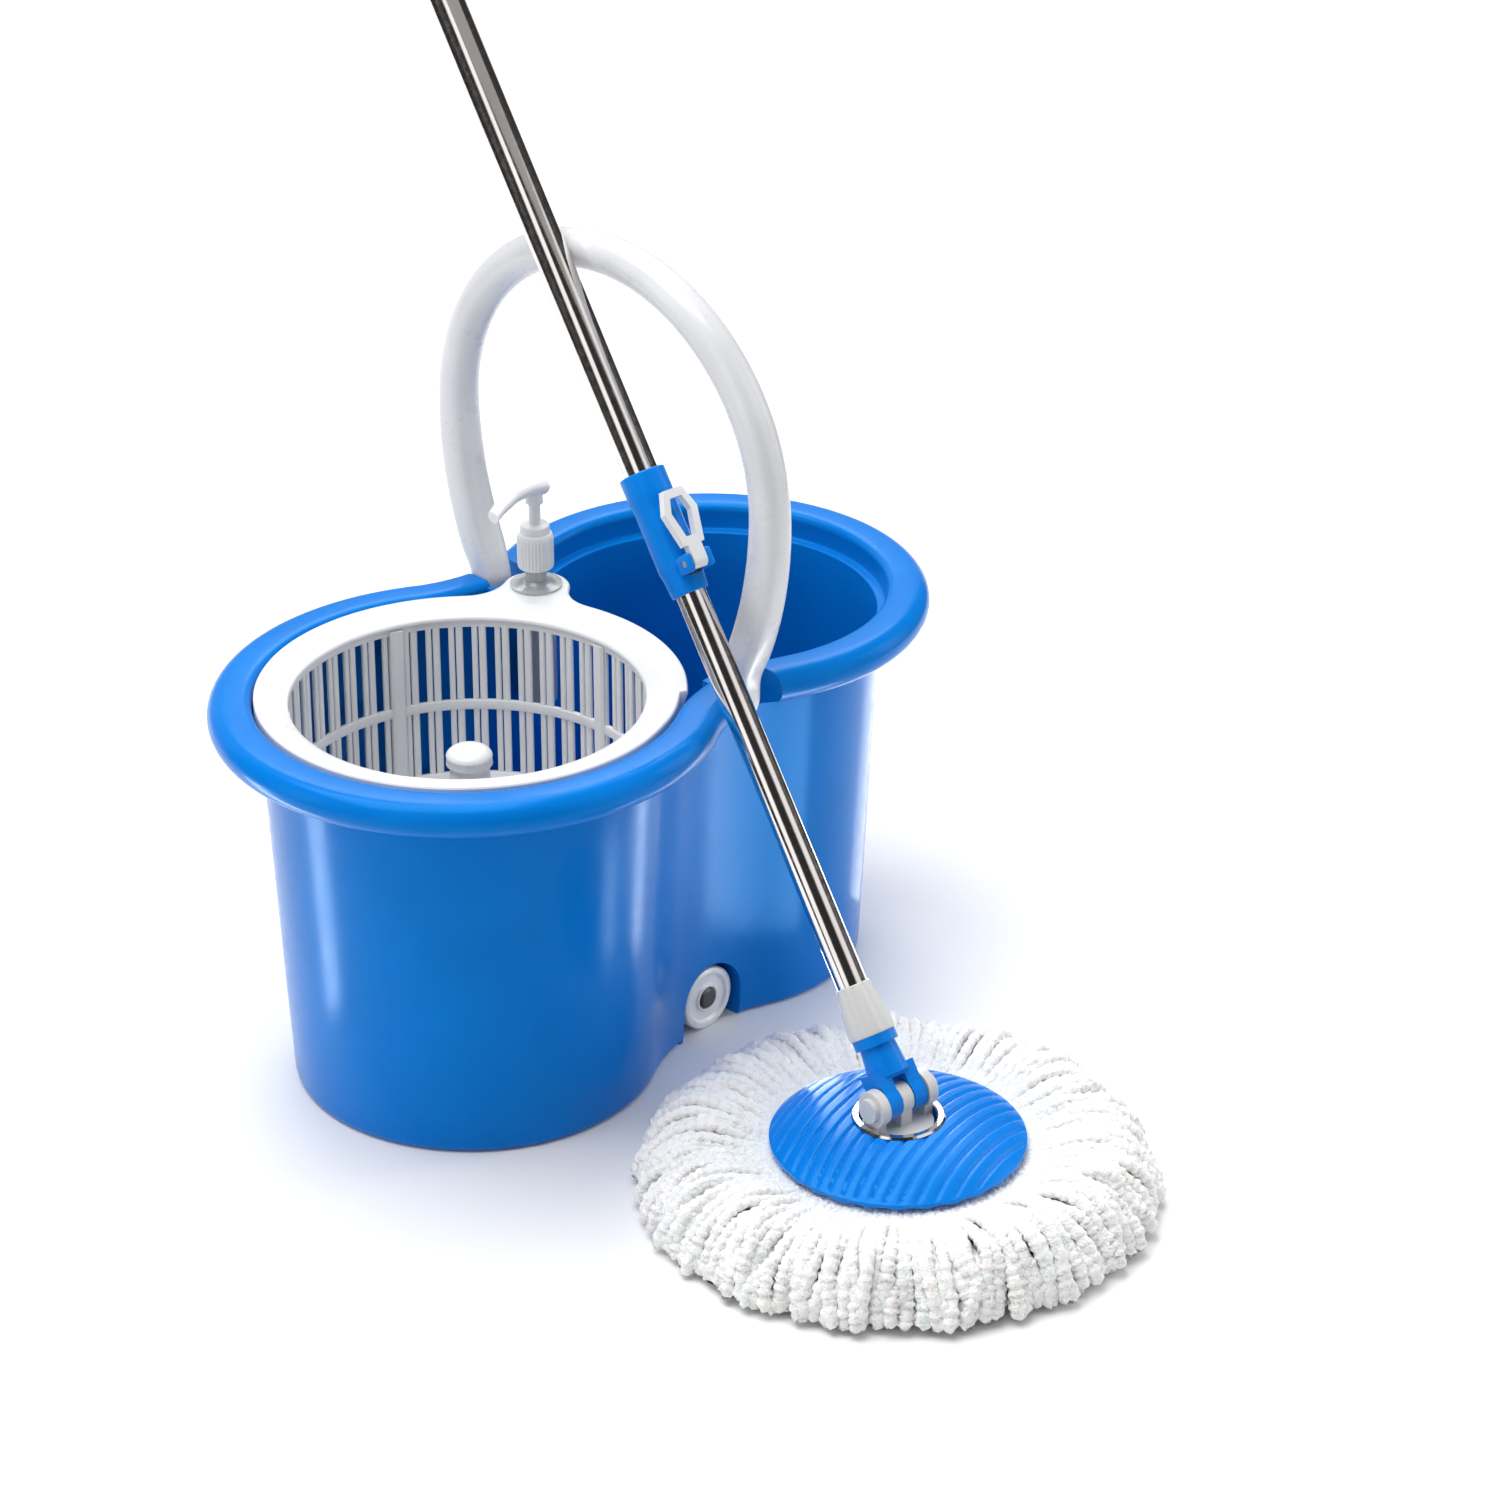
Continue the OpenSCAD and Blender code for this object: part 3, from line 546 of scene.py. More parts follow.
def wheel_well(side, grow, inner_y, outer_y):
    """A round-topped, straight-sided block the shape of one wheel's well."""
    axle_z = (WHEEL_LOW.z + WHEEL_HIGH.z) / 2
    clearance = 0.0035
    radius = (WHEEL_HIGH.z - WHEEL_LOW.z) / 2 + clearance + grow
    foot = -0.004 if grow == 0 else 0.0004
    shape = [(radius, foot), *arc(0, axle_z, radius, 0, 180, 28), (-radius, foot)]
    stations = [
        (Vector((WAIST_X, side * y, 0)), Vector((1, 0, 0)), Vector((0, 0, 1)))
        for y in (inner_y, outer_y)
    ]
    made = sweep("well", stations, shape, ring=False, caps=True)
    recalculate(made)
    return made


def make_bucket():
    section = bucket_section()
    stations = outline_stations()
    made = sweep("bucket", stations, section, ring=True, profile_loop=False)
    mesh_faces = [tuple(p.vertices) for p in made.data.polygons]
    vertices = [v.co.copy() for v in made.data.vertices]
    columns = len(section)
    rows = len(stations)
    mesh_faces.append(tuple(i * columns for i in range(rows)))
    mesh_faces.append(tuple(i * columns + columns - 1 for i in reversed(range(rows))))
    bpy.data.objects.remove(made)
    made = new_object("bucket", vertices, mesh_faces)
    recalculate(made)
    well_gap, housing_depth, well_depth = 0.0045, 0.018, 0.05
    well_y = WHEEL_HIGH.y - (WHEEL_HIGH.y - WHEEL_LOW.y) - well_gap
    for side in (-1, 1):
        combine(made, wheel_well(side, WALL, well_y - WALL, well_y + housing_depth), "UNION")
        combine(made, rim_web_block(side), "UNION")
        combine(made, notch_walls(side), "UNION")
    post_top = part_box("bearing_cup")[1].z - 0.003
    post_shape = [
        (0.009, 0.0005), (0.027, 0.0005), (0.021, 0.010), (0.015, post_top), (0.009, post_top),
    ]
    post = lathe("post", post_shape, BASKET_X, 0, 64)
    recalculate(post)
    combine(made, post, "UNION")
    for side in (-1, 1):
        combine(made, wheel_well(side, 0, well_y, well_y + well_depth), "DIFFERENCE")
        combine(made, notch_cutter(side), "DIFFERENCE")
    made.data.shade_smooth()
    made.data.set_sharp_from_angle(angle=math.radians(32))
    return finish_piece(made, BLUE, "bucket", "blue_plastic", "bucket_shell")


def make_wheel(side, node, body):
    """Transport wheel with a rounded tread, a dished face and a raised hub."""
    low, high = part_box(node)
    radius = (high.z - low.z) / 2
    face = high.y - low.y
    profile = rounded([
        (0.0031, 0.0, 0), (radius, 0.0, 0.0018), (radius, face, 0.0016),
        (radius * 0.78, face, 0.0008), (radius * 0.72, face - 0.0016, 0.0008),
        (0.0092, face - 0.0016, 0.0006), (0.0084, face - 0.0004, 0.0005),
        (0.0070, face - 0.0004, 0.0003), (0.0070, face - 0.0022, 0), (0.0031, face - 0.0022, 0),
    ], 3)
    made = lathe("wheel." + body, profile, 0, 0, 72)
    turn = Matrix.Rotation(math.radians(-90 * side), 4, "X")
    inner = low.y if side > 0 else high.y
    made.data.transform(Matrix.Translation((WAIST_X, inner, (low.z + high.z) / 2)) @ turn)
    recalculate(made)
    return finish_piece(made, WHITE, body, "white_plastic", node)


# ---------------------------------------------------------------- tray and basket

OPENING_R = 0.1015
TRAY_R = BASKET_X - TRAY_LOW.x
TRAY_FREE_R = 0.1255
EAR_R = 0.020
EAR_FILLET_R = 0.025


def ear_fillet(ring_r, side):
    """Centre of the curve from the tray's ring to the pump's ear, from the basket's axis."""
    ear = Vector((PUMP_X - BASKET_X, PUMP_Y))
    reach = ear.length
    p = ring_r + EAR_FILLET_R
    q = EAR_R + EAR_FILLET_R
    along = (p * p - q * q + reach * reach) / (2 * reach)
    across = math.sqrt(p * p - along * along)
    forward = ear.normalized()
    return forward * along + Vector((-forward.y, forward.x)) * across * side


def tray_outline():
    """Outer edge of the tray seen from above, about the basket's axis.

    Each point also says whether its edge reaches down to the rim's ledge.
    """
    ear = Vector((PUMP_X - BASKET_X, PUMP_Y))
    near = ear_fillet(TRAY_FREE_R, -1)
    far = ear_fillet(TRAY_R, 1)

    def angle(vector):
        return math.degrees(math.atan2(vector.y, vector.x))

    free_start = -48
    near_start, far_end = angle(near), angle(far)
    points = [(p, 0) for p in arc(0, 0, TRAY_FREE_R, free_start, near_start, 26)]
    curves = (
        (near, EAR_FILLET_R, near_start + 180, angle(ear - near), 8),
        (ear, EAR_R, angle(near - ear), angle(far - ear), 24),
        (far, EAR_FILLET_R, angle(ear - far) + 360, far_end + 180, 8),
    )
    for middle, radius, start, end, steps in curves:
        points += [(p, 0) for p in arc(middle.x, middle.y, radius, start, end, steps)[1:]]
    points += [(p, 1) for p in arc(0, 0, TRAY_R, far_end + 1, 360 + free_start - 1, 120)]
    return points


def make_tray():
    """Splash tray: a sloping funnel ring round the opening, with an ear that carries the pump."""
    outline = tray_outline()
    count = len(outline)
    lip = rounded([
        (OPENING_R + 0.0014, TRAY_Z - 0.0078, 0), (OPENING_R, TRAY_Z - 0.0078, 0.0005),
        (OPENING_R + 0.0003, TRAY_Z - 0.0056, 0.002), (OPENING_R + 0.009, TRAY_Z - 0.0006, 0.006),
    ], 5, closed=False)
    flange = TRAY_Z - 0.0002
    deep = LEDGE_Z + 0.0006
    lip_r = OPENING_R + 0.0125
    vertices = []
    for i, ((x, y), on_ledge) in enumerate(outline):
        edge = Vector((x, y))
        before = Vector(outline[i - 1][0])
        after = Vector(outline[(i + 1) % count][0])
        outward = Vector((after.y - before.y, before.x - after.x)).normalized()
        spoke = edge.normalized()
        foot = deep if on_ledge else TRAY_Z - 0.0030
        hem = edge - outward * 0.0016
        middle = (spoke * lip_r + hem) / 2
        section = [(spoke * r, z) for r, z in lip]
        section += [
            (spoke * lip_r, flange),
            (middle, flange + 0.0002),
            (hem - outward * 0.001, flange),
            (edge - outward * 0.0008, flange - 0.0003),
            (edge - outward * 0.0001, flange - 0.0012),
            (edge, foot + 0.0006),
            (edge - outward * 0.0005, foot),
            (edge - outward * 0.0018, foot),
            (edge - outward * 0.002, TRAY_Z - 0.0027),
            (middle, TRAY_Z - 0.0026),
            (spoke * lip_r, TRAY_Z - 0.0026),
            (spoke * (OPENING_R + 0.0020), TRAY_Z - 0.0058),
        ]
        vertices += [Vector((BASKET_X + p.x, p.y, z)) for p, z in section]
    columns = len(vertices) // count
    made = new_object("tray", vertices, grid_faces(count, columns, True, True), 40)
    recalculate(made)
    hole = lathe("hole", [(0.0, 0.2), (0.0115, 0.2), (0.0115, 0.3), (0.0, 0.3)], PUMP_X, PUMP_Y, 48)
    recalculate(hole)
    combine(made, hole, "DIFFERENCE")
    made.data.shade_smooth()
    made.data.set_sharp_from_angle(angle=math.radians(35))
    return finish_piece(made, WHITE, "tray", "white_plastic", "splash_tray")


def slat(angle, radius, width, depth, low, high):
    """One upright bar of the basket's wall, its inner corners eased."""
    out = Vector((math.cos(angle), math.sin(angle), 0))
    side = Vector((-out.y, out.x, 0))
    shape = [
        (-width / 2, 0), (-width / 2, -depth * 0.7), (-width * 0.32, -depth),
        (width * 0.32, -depth), (width / 2, -depth * 0.7), (width / 2, 0),
    ]
    stations = [(Vector((0, 0, z)) + out * radius, side, out) for z in (low, high)]
    return stations, shape


def make_basket():
    """Wringer basket: pairs of slits between slats, a ring at mid height, ribs, floor and hub."""
    floor_z = CAGE_LOW.z
    top_z = RING_LOW.z
    band = (0.178, 0.184)
    slats = 96
    ribs = 5
    vertices, faces = [], []

    def add(stations, shape):
        first = len(vertices)
        for origin, across, up in stations:
            vertices.extend(origin + across * x + up * z for x, z in shape)
        columns = len(shape)
        faces.extend(grid_faces(len(stations), columns, False, True, first))
        faces.extend(cap_faces(len(stations), columns, first))

    for i in range(slats):
        pair_shift = 0.16 if i % 2 else -0.16
        angle = 2 * math.pi * (i + pair_shift) / slats
        width = 0.0042 if i % 2 else 0.0034
        add(*slat(angle, CAGE_R, width, 0.0021, floor_z + 0.003, top_z + 0.004))
    for i in range(ribs):
        angle = math.radians(70.5 + i * 360 / ribs)
        add(*slat(angle, CAGE_R - 0.0006, 0.0085, 0.0040, floor_z + 0.002, top_z + 0.003))
    bars = new_object("bars", vertices, faces)

    def ring(low, high, depth):
        return lathe("ring", rounded([
            (CAGE_R - depth, low, 0.0006), (CAGE_R, low, 0.0003), (CAGE_R, high, 0.0003),
            (CAGE_R - depth, high, 0.0006)], 2), 0, 0, 144)

    floor = lathe("floor", rounded([
        (0.0045, floor_z, 0), (CAGE_R - 0.001, floor_z, 0.001), (CAGE_R, floor_z + 0.006, 0.0004),
        (CAGE_R - 0.0028, floor_z + 0.006, 0.001), (CAGE_R - 0.005, floor_z + 0.0024, 0.002),
        (0.028, floor_z + 0.0024, 0.004), (0.017, floor_z + 0.012, 0.006),
        (0.0108, 0.196, 0.002), (0.0045, 0.196, 0)], 4), 0, 0, 144)
    flange_low, flange_high = TRAY_Z - 0.0093, TRAY_Z - 0.0077
    rolled = lathe("rolled", rounded([
        (CAGE_R - 0.0022, top_z, 0.0004), (CAGE_R, top_z, 0.0003), (CAGE_R, flange_low, 0.0003),
        (CAGE_R + 0.006, flange_low, 0.0006), (CAGE_R + 0.006, flange_high, 0.0006),
        (CAGE_R - 0.0022, flange_high, 0.0012)], 3), 0, 0, 144)
    recalculate(floor)
    slot_inner, slot_outer = 0.042, 0.088
    for i in range(20):
        spoke = math.radians(18 * i + 9)
        out = Vector((math.cos(spoke), math.sin(spoke), 0))
        side = Vector((-out.y, out.x, 0))
        half = 0.0035 if i % 2 else 0.0050
        shape = [(-half, slot_inner), (half, slot_inner), (half, slot_outer), (-half, slot_outer)]
        ends = [(Vector((0, 0, z)), side, out) for z in (floor_z - 0.003, floor_z + 0.006)]
        cut = sweep("slot", ends, shape, ring=False, caps=True)
        recalculate(cut)
        combine(floor, cut, "DIFFERENCE")
    made = join("basket", [bars, ring(*band, 0.0030), floor, rolled])
    made.data.transform(Matrix.Translation((BASKET_X, 0, 0)))
    recalculate(made)
    return finish_piece(made, WHITE, "basket", "white_plastic", "basket_cage")


def make_hub():
    """Domed cap over the basket's spindle."""
    low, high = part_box("basket_hub")
    radius = (high.x - low.x) / 2
    profile = [(0.0, low.z), (radius, low.z)]
    profile += [(radius - 0.0004, low.z + 0.004)]
    profile += [
        (radius * math.cos(t), low.z + 0.0045 + (high.z - low.z - 0.0045) * math.sin(t))
        for t in [math.radians(5 + 8.5 * i) for i in range(10)]
    ]
    profile += [(0.0, high.z)]
    made = lathe("hub", profile, BASKET_X, 0, 64, profile_loop=False)
    recalculate(made)
    return finish_piece(made, WHITE, "basket", "white_plastic", "basket_hub")


# ---------------------------------------------------------------- handle

ARCH_R = 0.126
ARCH_Z = 0.348
TUBE_R = (HANDLE_HIGH.x - HANDLE_LOW.x) / 2
LEG_CURVE_R = 0.230
LEG_ANGLE = 24
ANKLE_R = 0.045
PIN_Z = JOINTS["handle_swing"]["pos_m"][2]
FOOT_R = min(0.0098, PIN_Z - HANDLE_LOW.z)


def handle_line():
    """The tube's centre line, from the foot at -Y over the top to the foot at +Y."""
    top = arc(0, 0, ARCH_R, 0, 90, 30)
    leg_centre = ARCH_R - LEG_CURVE_R
    leg = arc(leg_centre, 0, LEG_CURVE_R, -LEG_ANGLE, 0, 14)
    end_y, end_z = leg[0]
    ankle_y = end_y + ANKLE_R * math.cos(math.radians(LEG_ANGLE))
    ankle_z = end_z - ANKLE_R * math.sin(math.radians(LEG_ANGLE))
    ankle = arc(ankle_y, ankle_z, ANKLE_R, 180, 180 - LEG_ANGLE, 8)
    foot_y = ankle[0][0]
    toe = [PIN_Z - FOOT_R * math.cos(math.radians(turn)) - ARCH_Z for turn in range(10, 91, 10)]
    straight = [(foot_y, z) for z in (*toe, ankle_z - 0.006)]
    half = straight + ankle[:-1] + leg[:-1] + top
    other = [(-y, z) for y, z in reversed(half[:-1])]
    return [Vector((WAIST_X, y, ARCH_Z + z)) for y, z in half + other]


def make_handle():
    """Carry handle: a round tube that flattens towards its feet, rounded about their pins."""
    line = handle_line()
    tube_r = TUBE_R - 0.0003
    stations, profiles = [], []
    for i, point in enumerate(line):
        before = line[max(0, i - 1)]
        after = line[min(len(line) - 1, i + 1)]
        along = (after - before).normalized()
        side = Vector((1, 0, 0))
        out = along.cross(side).normalized()
        stations.append((point, side, out))
        low = min(1, max(0, (0.36 - point.z) / 0.12))
        power = 2.0 + 1.6 * low
        narrow = min(1, max(0, (0.262 - point.z) / 0.014))
        across = tube_r - (tube_r - FOOT_R) * narrow
        if point.z < PIN_Z:
            across = math.sqrt(FOOT_R ** 2 - (PIN_Z - point.z) ** 2)
        thick = tube_r - 0.0012 * low
        profile = []
        for k in range(40):
            turn = 2 * math.pi * k / 40
            c, s = math.cos(turn), math.sin(turn)
            profile.append((
                across * math.copysign(abs(c) ** (2 / power), c),
                thick * math.copysign(abs(s) ** (2 / power), s),
            ))
        profiles.append(profile)
    made = sweep("handle", stations, profiles, ring=False, caps=True, sharp=50)
    recalculate(made)
    return finish_piece(made, PEARL, "handle", "white_plastic", "handle_arch")


# ---------------------------------------------------------------- pump

def ribbed_lathe(name, profile, ribs, depth, ribbed_from, ribbed_to, x, y, steps):
    """A turned part whose profile points between two heights carry upright ribs."""
    up = Vector((0, 0, 1))
    stations, profiles = [], []
    for i in range(steps):
        turn = 2 * math.pi * i / steps
        stations.append((Vector((x, y, 0)), Vector((math.cos(turn), math.sin(turn), 0)), up))
        wave = depth * (0.5 - 0.5 * math.cos(ribs * turn))
        profiles.append([
            (r - (wave if ribbed_from < z < ribbed_to and r > 0.0065 else 0), z) for r, z in profile
        ])
    made = sweep(name, stations, profiles)
    recalculate(made)
    return made


def make_pump_collar():
    low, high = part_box("pump_collar")
    radius = (high.x - low.x) / 2
    profile = rounded([
        (0.0064, low.z, 0), (radius - 0.0004, low.z, 0.0008), (radius, low.z + 0.002, 0.0004),
        (radius, high.z - 0.009, 0.0010), (radius - 0.0010, high.z - 0.0062, 0.0012),
        (0.0088, high.z - 0.0058, 0.0006), (0.0086, high.z - 0.0006, 0.0010), (0.0036, high.z, 0),
        (0.0036, low.z + 0.010, 0), (0.0064, low.z + 0.010, 0),
    ], 4)
    made = ribbed_lathe("pump_collar_cap", profile, 32, 0.0005, low.z + 0.0015, high.z - 0.0085,
                        PUMP_X, PUMP_Y, 256)
    return finish_piece(made, WHITE, "tray", "white_plastic", "pump_collar")


def make_pump_head():
    """Pump head: a thumb pad on a short neck, drawn out into a drooping nozzle."""
    low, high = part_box("pump_head")
    top = high.z
    length = PUMP_X - low.x
    stations, profiles = [], []
    steps = 26
    for i in range(steps + 1):
        t = i / steps
        x = PUMP_X + 0.0092 - (length + 0.0088) * t
        droop = 0.0078 * max(0, (t - 0.62) / 0.38) ** 1.6
        rise = 0.0026 * math.sin(math.pi * min(1, t * 1.35))
        z = top - 0.0072 + rise - droop
        width = 0.0086 * (1 - 0.48 * t ** 0.9)
        height = 0.0072 * (1 - 0.42 * t)
        ease = min(1, math.sqrt(max(0.02, 1 - (1 - min(1, t / 0.14)) ** 2)))
        width, height = width * ease, height * ease
        stations.append((Vector((x, PUMP_Y, z)), Vector((0, 1, 0)), Vector((0, 0, 1))))
        profiles.append([
            (width * math.cos(a), height * (math.sin(a) if math.sin(a) < 0 else 0.62 * math.sin(a)))
            for a in [2 * math.pi * k / 28 for k in range(28)]
        ])
    nozzle = sweep("nozzle", stations, profiles, ring=False, caps=True)
    neck = lathe("neck", rounded([
        (0.0036, low.z + 0.0006, 0), (0.0054, low.z + 0.0006, 0.0006),
        (0.0050, low.z + 0.005, 0.002), (0.0058, top - 0.008, 0.002), (0.0036, top - 0.008, 0),
    ], 4), PUMP_X, PUMP_Y, 48)
    made = join("pump_nozzle", [nozzle, neck])
    recalculate(made)
    return finish_piece(made, WHITE, "pump", "white_plastic", "pump_head")


def make_spring():
    """Coil spring under the pump's piston, built at one fixed length."""
    low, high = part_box("pump_spring")
    wire = 0.00045
    coil_r = (high.x - low.x) / 2 - wire
    length = high.z - low.z
    turns, steps = 5, 120
    stations = []
    for i in range(steps + 1):
        turn = 2 * math.pi * turns * i / steps
        out = Vector((math.cos(turn), math.sin(turn), 0))
        rise = low.z + wire + (length - 2 * wire) * i / steps
        stations.append((Vector((PUMP_X, PUMP_Y, rise)) + out * coil_r, out, Vector((0, 0, 1))))
    section = [polar(0, 0, wire, math.radians(45 * k)) for k in range(8)]
    made = sweep("spring", stations, section, ring=False, caps=True)
    recalculate(made)
    finish_piece(made, SCREW_STEEL, "tray", "plain_steel", "pump_spring")
    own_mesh(made)


# ---------------------------------------------------------------- mop

def pole_matrix():
    """Frame of the pole: x along the hinge pin, z up the pole."""
    pivot = Vector(JOINTS["pole_tilt"]["pos_m"])
    along_pin = Vector(JOINTS["pole_tilt"]["axis"]).normalized()
    up_pole = Vector(JOINTS["pole_extend"]["axis"]).normalized()
    across = up_pole.cross(along_pin)
    rows = Matrix((along_pin, across, up_pole)).transposed().to_4x4()
    return Matrix.Translation(pivot) @ rows


POLE = pole_matrix()


def make_plate():
    """Domed plate with curved grooves moulded across its top."""
    groove_pitch = 0.0082
    groove_centre = Vector((0.1011, -0.4553))
    bottom = PLATE_LOW.z
    rings = 64
    steps = 288
    hole = 0.022
    underside = [
        (0.0600, 0.0336), (0.0600, bottom), (0.0340, bottom), (0.0300, 0.0380), (0.0081, 0.0380),
        (0.0081, 0.0410), (0.0212, 0.0410), (0.0220, 0.0418), (0.0220, 0.0495),
    ]

    def crown(radius):
        t = (radius - hole) / (PLATE_R - hole)
        return 0.0506 - 0.0030 * t - 0.0090 * t ** 2.4 - 0.0010 * t ** 12

    vertices = []
    for i in range(steps):
        turn = 2 * math.pi * i / steps
        for k in range(rings):
            t = k / (rings - 1)
            radius = hole + (PLATE_R - hole) * t
            x, y = polar(0, 0, radius, turn)
            reach = math.hypot(x - groove_centre.x, y - groove_centre.y) / groove_pitch
            fade = min(1, t / 0.10) * min(1, (1 - t) / 0.05)
            groove = max(0, math.cos(2 * math.pi * reach)) ** 3
            vertices.append(Vector((x, y, crown(radius) - 0.0014 * groove * fade)))
        scallop = 0.0007 * math.sin(28 * turn)
        edge = [
            (PLATE_R - 0.0002, 0.0358), (PLATE_R - 0.0010 + scallop, 0.0344),
            (PLATE_R - 0.004, 0.0340),
        ]
        for radius, z in edge + underside:
            vertices.append(Vector((*polar(0, 0, radius, turn), z)))
    columns = len(vertices) // steps
    made = new_object("plate", vertices, grid_faces(steps, columns, True, True), 50)
    made.data.transform(Matrix.Translation((MOP_X, MOP_Y, 0)))
    recalculate(made)
    return finish_piece(made, BRIGHT_BLUE, "mop_head", "blue_plastic", "mop_plate")


def strand(vertices, faces, line, radii, sides):
    """One yarn: rings of points along a line, closed at both ends."""
    first = len(vertices)
    for i, point in enumerate(line):
        along = (line[min(len(line) - 1, i + 1)] - line[max(0, i - 1)]).normalized()
        side = along.cross(Vector((0, 0, 1))).normalized()
        up = side.cross(along)
        for k in range(sides):
            turn = 2 * math.pi * (k + 0.5 * (i % 2)) / sides
            vertices.append(point + (side * math.cos(turn) + up * math.sin(turn)) * radii[i])
    faces.extend(grid_faces(len(line), sides, False, True, first))
    faces.extend(cap_faces(len(line), sides, first))


def strand_line(turn, sway, curl, beat, root, crest, reach, along_steps, fall_steps):
    """One yarn's path: out from under the plate, up to its crest, then down to the floor."""
    root_r, root_z = root
    crest_r, crest_z = crest
    edge_t = (PLATE_R + 0.002 - root_r) / (crest_r - root_r)
    line = []
    for i in range(along_steps):
        t = i / along_steps
        rise = min(1, max(0, (t - edge_t) / (1 - edge_t)))
        rise = rise * rise * (3 - 2 * rise)
        line.append((root_r + (crest_r - root_r) * t, root_z + (crest_z - root_z) * rise))
    for i in range(fall_steps + 1):
        lean = math.radians(96 * i / fall_steps)
        foot = 0.0052
        line.append((
            crest_r + (reach - crest_r) * math.sin(lean),
            foot + (crest_z - foot) * max(0, math.cos(lean)) ** 0.9,
        ))
    points = []
    for i, (radius, z) in enumerate(line):
        t = i / (len(line) - 1)
        swing = turn + sway * t * t + curl * math.sin(4.2 * t + beat) * t
        ripple = 0.0010 * math.sin(9 * t + beat) * t
        points.append(Vector((*polar(0, 0, radius, swing), z + ripple)))
    return points


def strand_layer(name, count, root, crest, reach, seed):
    """A ring of yarns, each with its own sway, curl, height and length."""
    chance = random.Random(seed)
    vertices, faces = [], []
    for n in range(count):
        turn = 2 * math.pi * (n + chance.uniform(-0.4, 0.4)) / count
        beat = chance.uniform(0, 6.28)
        own_crest = (
            crest[0] + chance.uniform(-0.012, 0.010),
            crest[1] * chance.uniform(0.86, 1.03),
        )
        points = strand_line(
            turn, chance.uniform(-0.07, 0.07), chance.uniform(-0.045, 0.045), beat,
            root, own_crest, reach * chance.uniform(0.93, 1.0), 18, 22,
        )
        thick = chance.uniform(0.0037, 0.0045)
        radii = []
        for i in range(len(points)):
            t = i / (len(points) - 1)
            fat = thick * (0.70 + 0.42 * t)
            bead = 1 + (0.07 + 0.13 * t) * math.sin(beat + 2 * math.pi * i / 3.3)
            end = 1 if t < 0.92 else math.sqrt(max(0.06, 1 - ((t - 0.92) / 0.084) ** 2))
            radii.append(fat * bead * end)
            points[i].z = max(points[i].z, radii[i] + 0.0003)
        strand(vertices, faces, points, radii, 6)
    made = new_object(name, vertices, faces, 180)
    made.data.transform(Matrix.Translation((MOP_X, MOP_Y, 0)))
    return made


def make_pad():
    """Microfibre pad: three layers of chenille yarn sewn to a ring under the plate."""
    layers = [
        strand_layer("yarn_top", 190, (0.060, 0.0292), (0.112, 0.0395), PAD_R * 0.975, 3),
        strand_layer("yarn_middle", 170, (0.052, 0.0215), (0.118, 0.0290), PAD_R * 0.995, 5),
        strand_layer("yarn_low", 120, (0.040, 0.0120), (0.122, 0.0180), PAD_R * 0.965, 8),
    ]
    backing = lathe("yarn_backing", rounded([
        (0.034, 0.006, 0.001), (PAD_R - 0.030, 0.003, 0.001), (PAD_R - 0.022, 0.010, 0.003),
        (0.118, 0.026, 0.01), (0.095, 0.030, 0.01), (0.066, 0.0265, 0.002), (0.034, 0.0258, 0.001),
    ], 4), MOP_X, MOP_Y, 96)
    recalculate(backing)
    for layer in layers:
        finish_piece(layer, YARN, "mop_head", "microfibre", "mop_pad")
    finish_piece(backing, YARN, "mop_head", "microfibre", "mop_pad")


def make_collar_nut():
    """Tapered nut with shallow finger flutes."""
    foot, shoulder, top = 0.0380, 0.0465, 0.0680
    profile = rounded([
        (0.0089, foot, 0), (0.0134, foot, 0.0008), (0.0136, foot + 0.003, 0.002),
        (0.0132, shoulder, 0.006), (0.0104, top - 0.002, 0.003), (0.0098, top, 0.0008),
        (0.0089, top, 0),
    ], 6)
    made = ribbed_lathe("collar", profile, 10, 0.0007, foot + 0.002, top - 0.001, 0, 0, 160)
    made.data.transform(POLE)
    return finish_piece(made, GREY, "pole_lower", "grey_plastic", "collar_nut")


def make_sleeve():
    """Blue clamp sleeve: flared foot, stepped body and two cheeks for the lever."""
    foot = 0.305
    profile = rounded([
        (0.00895, foot, 0), (0.0108, foot, 0.0010), (0.0118, foot + 0.012, 0.004),
        (0.0126, foot + 0.016, 0.002), (0.0126, foot + 0.052, 0.004), (0.0134, foot + 0.060, 0.004),
        (0.0134, foot + 0.073, 0.0012), (0.01005, foot + 0.073, 0), (0.01005, foot + 0.028, 0),
        (0.00895, foot + 0.026, 0),
    ], 5)
    body = lathe("body", profile, 0, 0, 96)
    recalculate(body)
    for x in (-0.009, 0.005):
        low, high = (x, -0.0222, foot + 0.0095), (x + 0.004, -0.009, foot + 0.0205)
        cheek = bevelled(box_object("cheek", low, high), 0.0018, 3)
        combine(body, cheek, "UNION")
    slot = box_object("slot", (-0.0042, -0.014, foot + 0.009), (0.0042, -0.008, foot + 0.021))
    combine(body, slot, "DIFFERENCE")
    bore = lathe("bore", [(0.0, -0.02), (0.00205, -0.02), (0.00205, 0.02), (0.0, 0.02)], 0, 0, 24)
    recalculate(bore)
    bore.data.transform(
        Matrix.Translation((0, -0.0175, foot + 0.015)) @ Matrix.Rotation(math.radians(90), 4, "Y"))
    combine(body, bore, "DIFFERENCE")
    body.name = "sleeve"
    body.data.transform(POLE)
    body.data.shade_smooth()
    body.data.set_sharp_from_angle(angle=math.radians(35))
    return finish_piece(body, BRIGHT_BLUE, "pole_upper", "blue_plastic", "clamp_sleeve")


# ---------------------------------------------------------------- stage

